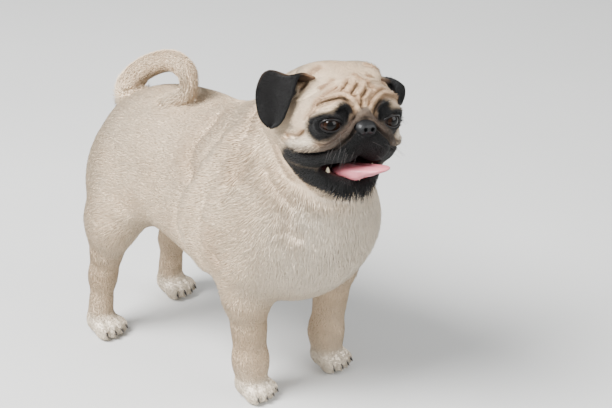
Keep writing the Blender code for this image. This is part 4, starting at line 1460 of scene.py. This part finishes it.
def lie_of(points, normals):
    """The way the hair lies: from the nose backwards, along the back, and down the chest and the legs."""
    x, _, z = points.T
    ways = np.repeat(np.array(((-1.0, 0.0, -0.22),)), len(points), axis=0)
    ways = toward(ways, (-0.75, 0, -0.65), step_up(0.2, 0.8, np.abs(normals[:, 1])) * step_up(0.06, 0.14, x))
    ways = toward(ways, (-0.50, 0, -0.90), step_up(-0.08, -0.13, x))
    ways = toward(ways, (-0.15, 0, -1.0), step_up(0.1, 0.6, normals[:, 0]) * step_up(0.08, 0.14, x))
    ways = toward(ways, (-0.10, 0, -1.0), 1 - step_up(0.11, 0.16, z))
    ways = toward(ways, (0.75, 0, -0.6), 1 - step_up(0.020, 0.036, z))
    head_ways = unit_rows((in_head(points) - np.array((60, 0, 4))) @ np.array(HEAD_TURN.to_matrix()).T)
    ways = toward(ways, head_ways, head_share(points))
    course = TAIL_LINE.places
    _, place = TAIL_LINE.nearest(points)
    first = np.clip((place * (len(course) - 1)).astype(int), 0, len(course) - 2)
    runs = unit_rows(np.diff(np.array(course), axis=0))
    ways = toward(ways, runs[first], tail_share(points))
    ways = ways - normals * np.sum(ways * normals, axis=1)[:, None]
    return unit_rows(ways)


def hair_lift(points):
    """How steeply the hair stands up from the skin, as a slope."""
    x, _, z = points.T
    lift = np.full(len(points), 0.11)
    lift += 0.01 * step_up(0.05, 0.14, x) * step_up(0.16, 0.24, z)
    lift += 0.10 * step_up(-0.13, -0.155, x) * step_up(0.10, 0.16, z)
    lift += 0.10 * tail_share(points)
    return lift * (1 - 0.35 * head_share(points))


def bare_share(points):
    """1 where no hair grows: mouth, lid rims, nose leather and the soles."""
    bare = 1 - step_up(0.0004, 0.0016, mouth_hollow().distance(points))
    for hollow in lid_hollows():
        bare = np.maximum(bare, 1 - step_up(0.0002, 0.0014, hollow.distance(points)))
    leather = Egg((58, 0, -1.5), (12, 11.5, 8.5), frame=HEAD)
    bare = np.maximum(bare, 1 - step_up(0.0, 0.0012, leather.distance(points)))
    return np.maximum(bare, 1 - step_up(0.0035, 0.0055, points[:, 2]))


LAYERS = 1.9
HAIR_WIDTH = (0.27, 0.036)
LEG_TOP = 0.14
CHEST_BACK = 0.075
RUMP_FRONT = -0.045
NECK_LOW = 0.24
FACE_BACK = 22


def dress_for_hair(obj, length, lift, grown):
    """Writes on the mesh the size and lift of its locks, and gives how many grow on a square metre."""
    width = HAIR_WIDTH[0] * MM + HAIR_WIDTH[1] * length
    set_attribute(obj.data, "size", "FLOAT_VECTOR", np.stack([length, width, 0.6 * width], axis=1))
    set_attribute(obj.data, "lift", "FLOAT", lift)
    return LAYERS / (0.5 * width * length) * grown


lie = lie_of(skin_points, skin_normals)
set_attribute(skin.data, "lie", "FLOAT_VECTOR", lie)
_, skin_core, _ = crease_share(skin_points)
skin_length = hair_length(skin_points) * (1 - 0.55 * skin_core)
skin_grown = (1 - bare_share(skin_points)) * (1 - 0.6 * skin_core)
skin_grown *= 0.55 + 0.45 * step_up(0.03, 0.15, skin_points[:, 2])
skin_per_area = dress_for_hair(skin, skin_length, hair_lift(skin_points), skin_grown)
print("locks per square centimetre:", np.round(np.percentile(skin_per_area, (5, 50, 95)) / 1e4, 1))

# %% [markdown]
# ## A place for every lock on a flat map
# Each lock has a small patch of a flat map for its colour. The patch sits where the lock's root lies on an
# unwrap of the skin: the skin is laid out by body part and by the side it faces, one cell each.

# %% An unwrap of the skin
CELLS = 7
MAP_CORNER = (0.25, 0.22)
MAP_SIZE = 0.70


def part_of(points):
    """A number for each body part: trunk, head, four legs and tail."""
    x, y, z = points.T
    part = np.zeros(len(points), int)
    low_leg = z < LEG_TOP
    part[low_leg & (x > 0) & (y < 0)] = 2
    part[low_leg & (x > 0) & (y >= 0)] = 3
    part[low_leg & (x <= 0) & (y < 0)] = 4
    part[low_leg & (x <= 0) & (y >= 0)] = 5
    part[head_share(points) > 0.5] = 1
    part[tail_share(points) > 0.5] = 6
    return part


def unwrapped(obj):
    """A UV map named root_place: each face is laid flat along the axis that it faces most."""
    data = obj.data
    count = len(data.polygons)
    middles, facing = rows_of(data.polygons, "center"), rows_of(data.polygons, "normal")
    axis = np.abs(facing).argmax(axis=1)
    way = facing[np.arange(count), axis] > 0
    cell = part_of(middles) * 6 + axis * 2 + way
    of_loop = np.repeat(np.arange(count), rows_of(data.polygons, "loop_total", 1, int))
    loops = rows_of(data.loops, "vertex_index", 1, int)
    spots = points_of(obj)[loops]
    across = np.array(((1, 2), (0, 2), (0, 1)))[axis[of_loop]]
    flat = np.take_along_axis(spots, across, axis=1)
    flat = (flat + np.array(MAP_CORNER)) / MAP_SIZE
    column, row = cell[of_loop] % CELLS, cell[of_loop] // CELLS
    layer = data.uv_layers.get("root_place") or data.uv_layers.new(name="root_place")
    places = (flat + np.stack([column, row], axis=1)) / CELLS
    layer.uv.foreach_set("vector", places.astype(np.float32).ravel())


unwrapped(skin)
print("cells of the unwrap:", CELLS * CELLS)

# %% The tree of the coat


def lock_shape():
    """One lock: a thin leaf, pointed at root and tip, with a keel below. Four faces."""
    verts = [(-0.04, 0, -0.12), (0.38, -0.5, 0.30), (0.38, 0.5, 0.30), (1.0, 0, -0.10)]
    faces = [(0, 1, 2), (3, 2, 1), (0, 2, 3), (0, 3, 1)]
    data = bpy.data.meshes.new("lock_shape")
    data.from_pydata(verts, [], faces)
    layer = data.uv_layers.new(name="patch")
    for loop in data.loops:
        x, y, _ = verts[loop.vertex_index]
        layer.uv[loop.index].vector = (max(x, 0.0), y + 0.5)
    set_attribute(data, "tip", "FLOAT", [max(x, 0.0) for x, _, _ in verts])
    data.shade_smooth()
    return mesh_object("lock_shape", data)


def coat_tree():
    tree, start, end = new_tree(
        "coat", ("Shape", "NodeSocketObject", None), ("Most", "NodeSocketFloat", 1e6),
        ("Seed", "NodeSocketInt", 1), ("Patch", "NodeSocketFloat", 0.003),
        ("Finish", "NodeSocketMaterial", None))
    link = tree.links.new
    here = read_attribute(tree, "here", "FLOAT", (-1400, -300))
    often = multiplied(tree, here, start.outputs["Most"], (-1200, -200))
    strew = node(tree, "GeometryNodeDistributePointsOnFaces", (-1000, 0), distribute_method="RANDOM")
    link(start.outputs["Geometry"], strew.inputs["Mesh"])
    link(often, socket(strew, "Density"))
    link(start.outputs["Seed"], strew.inputs["Seed"])

    def chance(at, low, high, salt):
        made = node(tree, "FunctionNodeRandomValue", at, data_type="FLOAT")
        socket(made, "Min").default_value = low
        socket(made, "Max").default_value = high
        made.inputs["Seed"].default_value = salt
        return socket(made, "Value", outputs=True)

    normal = node(tree, "GeometryNodeStoreNamedAttribute", (-800, 0), data_type="FLOAT_VECTOR",
                  domain="POINT")
    normal.inputs["Name"].default_value = "out"
    link(strew.outputs["Points"], normal.inputs["Geometry"])
    link(strew.outputs["Normal"], socket(normal, "Value"))
    shade = node(tree, "GeometryNodeStoreNamedAttribute", (-600, 0), data_type="FLOAT", domain="POINT")
    shade.inputs["Name"].default_value = "shade"
    link(normal.outputs["Geometry"], shade.inputs["Geometry"])
    link(chance((-800, -250), 0.0, 1.0, 3), socket(shade, "Value"))

    out = read_attribute(tree, "out", "FLOAT_VECTOR", (-1000, -500))
    swirl = node(tree, "ShaderNodeVectorRotate", (-700, -500), rotation_type="AXIS_ANGLE")
    link(read_attribute(tree, "lie", "FLOAT_VECTOR", (-1000, -650)), swirl.inputs["Vector"])
    link(out, swirl.inputs["Axis"])
    link(chance((-1000, -800), -0.17, 0.17, 4), swirl.inputs["Angle"])
    steep = read_attribute(tree, "lift", "FLOAT", (-1100, -950))
    steep = multiplied(tree, steep, chance((-1100, -1100), 0.65, 1.35, 5), (-900, -950))
    raised = scaled(tree, out, steep, (-700, -900))
    ahead = node(tree, "ShaderNodeVectorMath", (-500, -600), operation="ADD")
    link(swirl.outputs["Vector"], ahead.inputs[0])
    link(raised.outputs["Vector"], ahead.inputs[1])
    turn = node(tree, "FunctionNodeAxesToRotation", (-300, -500), primary_axis="X", secondary_axis="Z")
    link(ahead.outputs["Vector"], turn.inputs["Primary Axis"])
    link(out, turn.inputs["Secondary Axis"])
    size = read_attribute(tree, "size", "FLOAT_VECTOR", (-500, -900))
    size = scaled(tree, size, chance((-500, -1050), 0.72, 1.28, 6), (-300, -800))

    shape = node(tree, "GeometryNodeObjectInfo", (-300, -250))
    link(start.outputs["Shape"], shape.inputs["Object"])
    put = node(tree, "GeometryNodeInstanceOnPoints", (0, 0))
    link(shade.outputs["Geometry"], put.inputs["Points"])
    link(shape.outputs["Geometry"], put.inputs["Instance"])
    link(turn.outputs["Rotation"], put.inputs["Rotation"])
    link(size.outputs["Vector"], put.inputs["Scale"])
    real = realized(tree, put.outputs["Instances"], (250, 0))

    within = read_attribute(tree, "patch", "FLOAT_VECTOR", (50, -400))
    within = scaled(tree, within, start.outputs["Patch"], (250, -400))
    place = node(tree, "ShaderNodeVectorMath", (450, -300), operation="ADD")
    link(read_attribute(tree, "root_place", "FLOAT_VECTOR", (250, -550)), place.inputs[0])
    link(within.outputs["Vector"], place.inputs[1])
    bake = node(tree, "GeometryNodeStoreNamedAttribute", (600, 0), data_type="FLOAT2", domain="CORNER")
    bake.inputs["Name"].default_value = "OFBake"
    link(real, bake.inputs["Geometry"])
    link(place.outputs["Vector"], socket(bake, "Value"))
    return ended(tree, bake.outputs["Geometry"], start, end)


COAT_TREE = coat_tree()
LOCK = lock_shape()
LOCK_FACES = len(LOCK.data.polygons)
print("coat tree has", len(COAT_TREE.nodes), "nodes")

# %% [markdown]
# ## Colour of the hair
# Each lock takes its colour from the skin at its root. It is a little darker at the root and lighter at the
# tip, partly paler hair tips and partly painted shade deep in the coat, and no two locks are quite the same.

# %% Hair finish


def hair_finish():
    material = finish_of("hair", attribute="coat", roughness=0.68, mottle=(35, 0.06), sheen=0.04,
                         specular=0.10)
    tree = material.node_tree
    shaded = next(n for n in tree.nodes if n.bl_idname == "ShaderNodeVectorMath")
    shader = tree.nodes["Principled BSDF"]
    # Partly painted shade: each lock is darker at its root, deep in the coat, and paler at its tip.
    for name, low, high, at in (("tip", 0.90, 1.06, 600), ("shade", 0.91, 1.09, 800)):
        read = node(tree, "ShaderNodeAttribute", (-900, at), attribute_name=name)
        spread = node(tree, "ShaderNodeMapRange", (-650, at))
        spread.inputs["To Min"].default_value = low
        spread.inputs["To Max"].default_value = high
        tree.links.new(read.outputs["Fac"], spread.inputs["Value"])
        shaded = scaled(tree, shaded.outputs[0], spread.outputs["Result"], (-300, at))
    tree.links.new(shaded.outputs[0], shader.inputs["Base Color"])
    return material


HAIR_FINISH = hair_finish()
KEPT_VALUES = {"coat", "tip", "shade", "OFBake", "position", "material_index", "sharp_face", ".edge_verts",
               ".corner_vert", ".corner_edge"}


def hair_piece(emitter, name, per_area, chosen, seed):
    """The locks of one region of an emitter, as one mesh."""
    here = per_area * chosen
    most = float(per_area.max()) * 1.0
    set_attribute(emitter.data, "here", "FLOAT", here / per_area.max())
    guide = mesh_object("emitter", emitter.data.copy())
    piece = grown_by(guide, COAT_TREE, name, Shape=LOCK, Most=most, Seed=seed, Finish=HAIR_FINISH)
    for value in [a.name for a in piece.data.attributes if a.name not in KEPT_VALUES]:
        piece.data.attributes.remove(piece.data.attributes[value])
    piece.data.uv_layers.active = piece.data.uv_layers["OFBake"]
    return piece


def regions_of(points):
    """Borders of the coat's pieces, each under the triangle limit."""
    x, y, z = points.T
    local = in_head(points)
    head = head_share(points) > 0.5
    tail = tail_share(points) > 0.5
    legs = ~head & ~tail & (z < LEG_TOP)
    trunk = ~head & ~tail & ~legs
    face = head & (local[:, 0] >= FACE_BACK)
    chest = trunk & (x > CHEST_BACK) & (z <= NECK_LOW)
    barrel = trunk & (x <= CHEST_BACK) & (x > RUMP_FRONT)
    rump = trunk & (x <= RUMP_FRONT)
    return {
        "face_right": face & (local[:, 1] < 0),
        "face_left": face & (local[:, 1] >= 0),
        "crown": head & (local[:, 0] < FACE_BACK),
        "neck": trunk & (x > CHEST_BACK) & (z > NECK_LOW),
        "chest_right": chest & (y < 0),
        "chest_left": chest & (y >= 0),
        "barrel_right": barrel & (y < 0),
        "barrel_left": barrel & (y >= 0),
        "rump_right": rump & (y < 0),
        "rump_left": rump & (y >= 0),
        "legs_right": legs & (y < 0),
        "legs_left": legs & (y >= 0),
        "tail": tail,
    }


total_locks = 0
hair = []
for number, (name, chosen) in enumerate(regions_of(skin_points).items()):
    piece = hair_piece(skin, "hair_" + name, skin_per_area, chosen.astype(float), 11 + number)
    total_locks += len(piece.data.polygons) // LOCK_FACES
    print("hair on the", name, len(piece.data.polygons), "triangles")
    hair.append(piece)
print("locks:", total_locks)

# %% [markdown]
# ## Velvet of the ears
# The ears carry the shortest hair of all, lying from the root to the tip. The same tree grows it, with the
# ear flaps as its ground.

# %% Hair of the ears
EAR_HAIR = 2.6 * MM
EAR_LIFT = 0.10
for name, side in SIDES:
    flap = ears[side]
    count = len(flap.data.vertices)
    unwrapped(flap)
    per_area = 0.8 * dress_for_hair(flap, np.full(count, EAR_HAIR), np.full(count, EAR_LIFT), np.ones(count))
    piece = hair_piece(flap, "hair_ear_" + name, per_area, np.ones(count), 31)
    print("hair on the ear", len(piece.data.polygons), "triangles")
    hair.append(piece)

# %% [markdown]
# ## Whiskers
# A few stiff hairs stand out of the lip cushions, the chin and the moles. Each follows its own bent path,
# thick at the root and fine at the tip, and the strand tree makes them round.

# %% Whiskers
WHISKER_SPOTS = (
    (14, (56, 20, -20), (10, 9, 8), (0.75, 0.75, -0.25), 20.0),
    (9, (50, 0, -66), (8, 14, 5), (0.75, 0.25, -0.65), 13.0),
    (3, (24, 62, -5), (2, 2, 2), (0.30, 0.95, -0.20), 14.0),
    (3, (58, 22, 21), (4, 5, 2), (0.60, 0.35, 0.70), 11.0),
)

WHISKER_THICKNESS = 0.16 * MM
BENDS = 7


def whisker_paths(seed):
    """Bent paths that start on the skin, on both sides of the face."""
    luck = np.random.default_rng(seed)
    paths = []
    for count, place, spread, way, length in WHISKER_SPOTS:
        for _, side in SIDES:
            for _ in range(count):
                at = Vector(place) + Vector(luck.uniform(-1, 1, 3) * spread)
                at = HEAD @ Vector((at.x, side * at.y, at.z))
                root = laid_on(LUMPS, [at], -1.2 * MM)[0]
                out = Vector(way) + Vector(luck.uniform(-0.25, 0.25, 3))
                out = (HEAD_TURN @ Vector((out.x, side * out.y, out.z))).normalized()
                long = length * luck.uniform(0.6, 1.0) * MM
                droop = Vector((0, 0, -0.35 * long))
                paths.append([root + out * long * k / BENDS + droop * (k / BENDS) ** 2
                              for k in range(BENDS + 1)])
    return paths


whiskers = whisker_paths(8)
TAPER = [1.0 - 0.11 * k for k in range(BENDS + 1)]
WHISKER_FINISH = finish_of("whisker", color=(0.05, 0.045, 0.042), roughness=0.4, mottle=(300, 0.3))
guide = path_guide("whisker_guide", whiskers, [TAPER] * len(whiskers))
whisker_mesh = grown_by(guide, STRANDS, "whiskers", Thickness=WHISKER_THICKNESS, Sides=4,
                        Finish=WHISKER_FINISH)
finished(whisker_mesh, WHISKER_FINISH, "mask")
print("whiskers:", len(whiskers), "with", triangle_count(whisker_mesh), "triangles")

# %% [markdown]
# ## The room
# A plain pale floor under the dog, soft light from two big panels and from the sky all round, and the camera
# at the photograph's angle.

# %% Floor, light and camera
finished(skin, COAT_FINISH, "fawn", *FLESH_NODES)
for piece in hair:
    finished(piece, HAIR_FINISH, "fawn", smooth=False)
removed(LOCK)
for name, side in SIDES:
    finished(ears[side], EAR_FINISH, "ear", "ear_" + name)

FLOOR_HEIGHT = -0.0004
floor_mesh = bpy.data.meshes.new("floor")
corners = [(x, y, FLOOR_HEIGHT) for x, y in ((-6, -6), (6, -6), (6, 6), (-6, 6))]
floor_mesh.from_pydata(corners, [], [(0, 1, 2, 3)])
floor = mesh_object("floor", floor_mesh)
floor_finish = finish_of("pale_floor", color=(0.50, 0.50, 0.49), roughness=0.65, mottle=(3, 0.02))
floor_mesh.materials.append(floor_finish)

world = bpy.data.worlds.new("sky")
bpy.context.scene.world = world
world.use_nodes = True
world.node_tree.nodes["Background"].inputs["Color"].default_value = (0.95, 0.98, 1.0, 1.0)
world.node_tree.nodes["Background"].inputs["Strength"].default_value = 0.80


def panel(name, place, size, power, target=(0, 0, 0.2)):
    light = bpy.data.lights.new(name, "AREA")
    light.size = size
    light.energy = power
    obj = bpy.data.objects.new(name, light)
    obj.location = place
    obj.rotation_mode = "QUATERNION"
    obj.rotation_quaternion = (Vector(place) - Vector(target)).to_track_quat("Z", "Y")
    bpy.context.scene.collection.objects.link(obj)


panel("key_light", (-0.5, -1.5, 2.2), 1.3, 300)
panel("fill_light", (1.8, 0.6, 1.2), 1.6, 45)

CAMERA_TURN, CAMERA_HEIGHT, CAMERA_AWAY = math.radians(41), math.radians(25.5), 1.9
CAMERA_TARGET = Vector((0.0299, 0.1167, 0.15)) + SHIFT
SENSOR_WIDTH = 36
FOCAL_PIXELS, PHOTO_WIDTH = 1653, 612
back = Vector((math.sin(CAMERA_TURN) * math.cos(CAMERA_HEIGHT),
               -math.cos(CAMERA_TURN) * math.cos(CAMERA_HEIGHT), math.sin(CAMERA_HEIGHT)))
camera_data = bpy.data.cameras.new("camera")
camera_data.sensor_width = SENSOR_WIDTH
camera_data.lens = SENSOR_WIDTH * FOCAL_PIXELS / PHOTO_WIDTH
camera_data.clip_start = 0.05
camera = bpy.data.objects.new("camera", camera_data)
camera.location = CAMERA_TARGET + back * CAMERA_AWAY
camera.rotation_mode = "QUATERNION"
camera.rotation_quaternion = back.to_track_quat("Z", "Y")
bpy.context.scene.collection.objects.link(camera)
bpy.context.scene.camera = camera
print("lens:", round(camera_data.lens, 2), "mm")
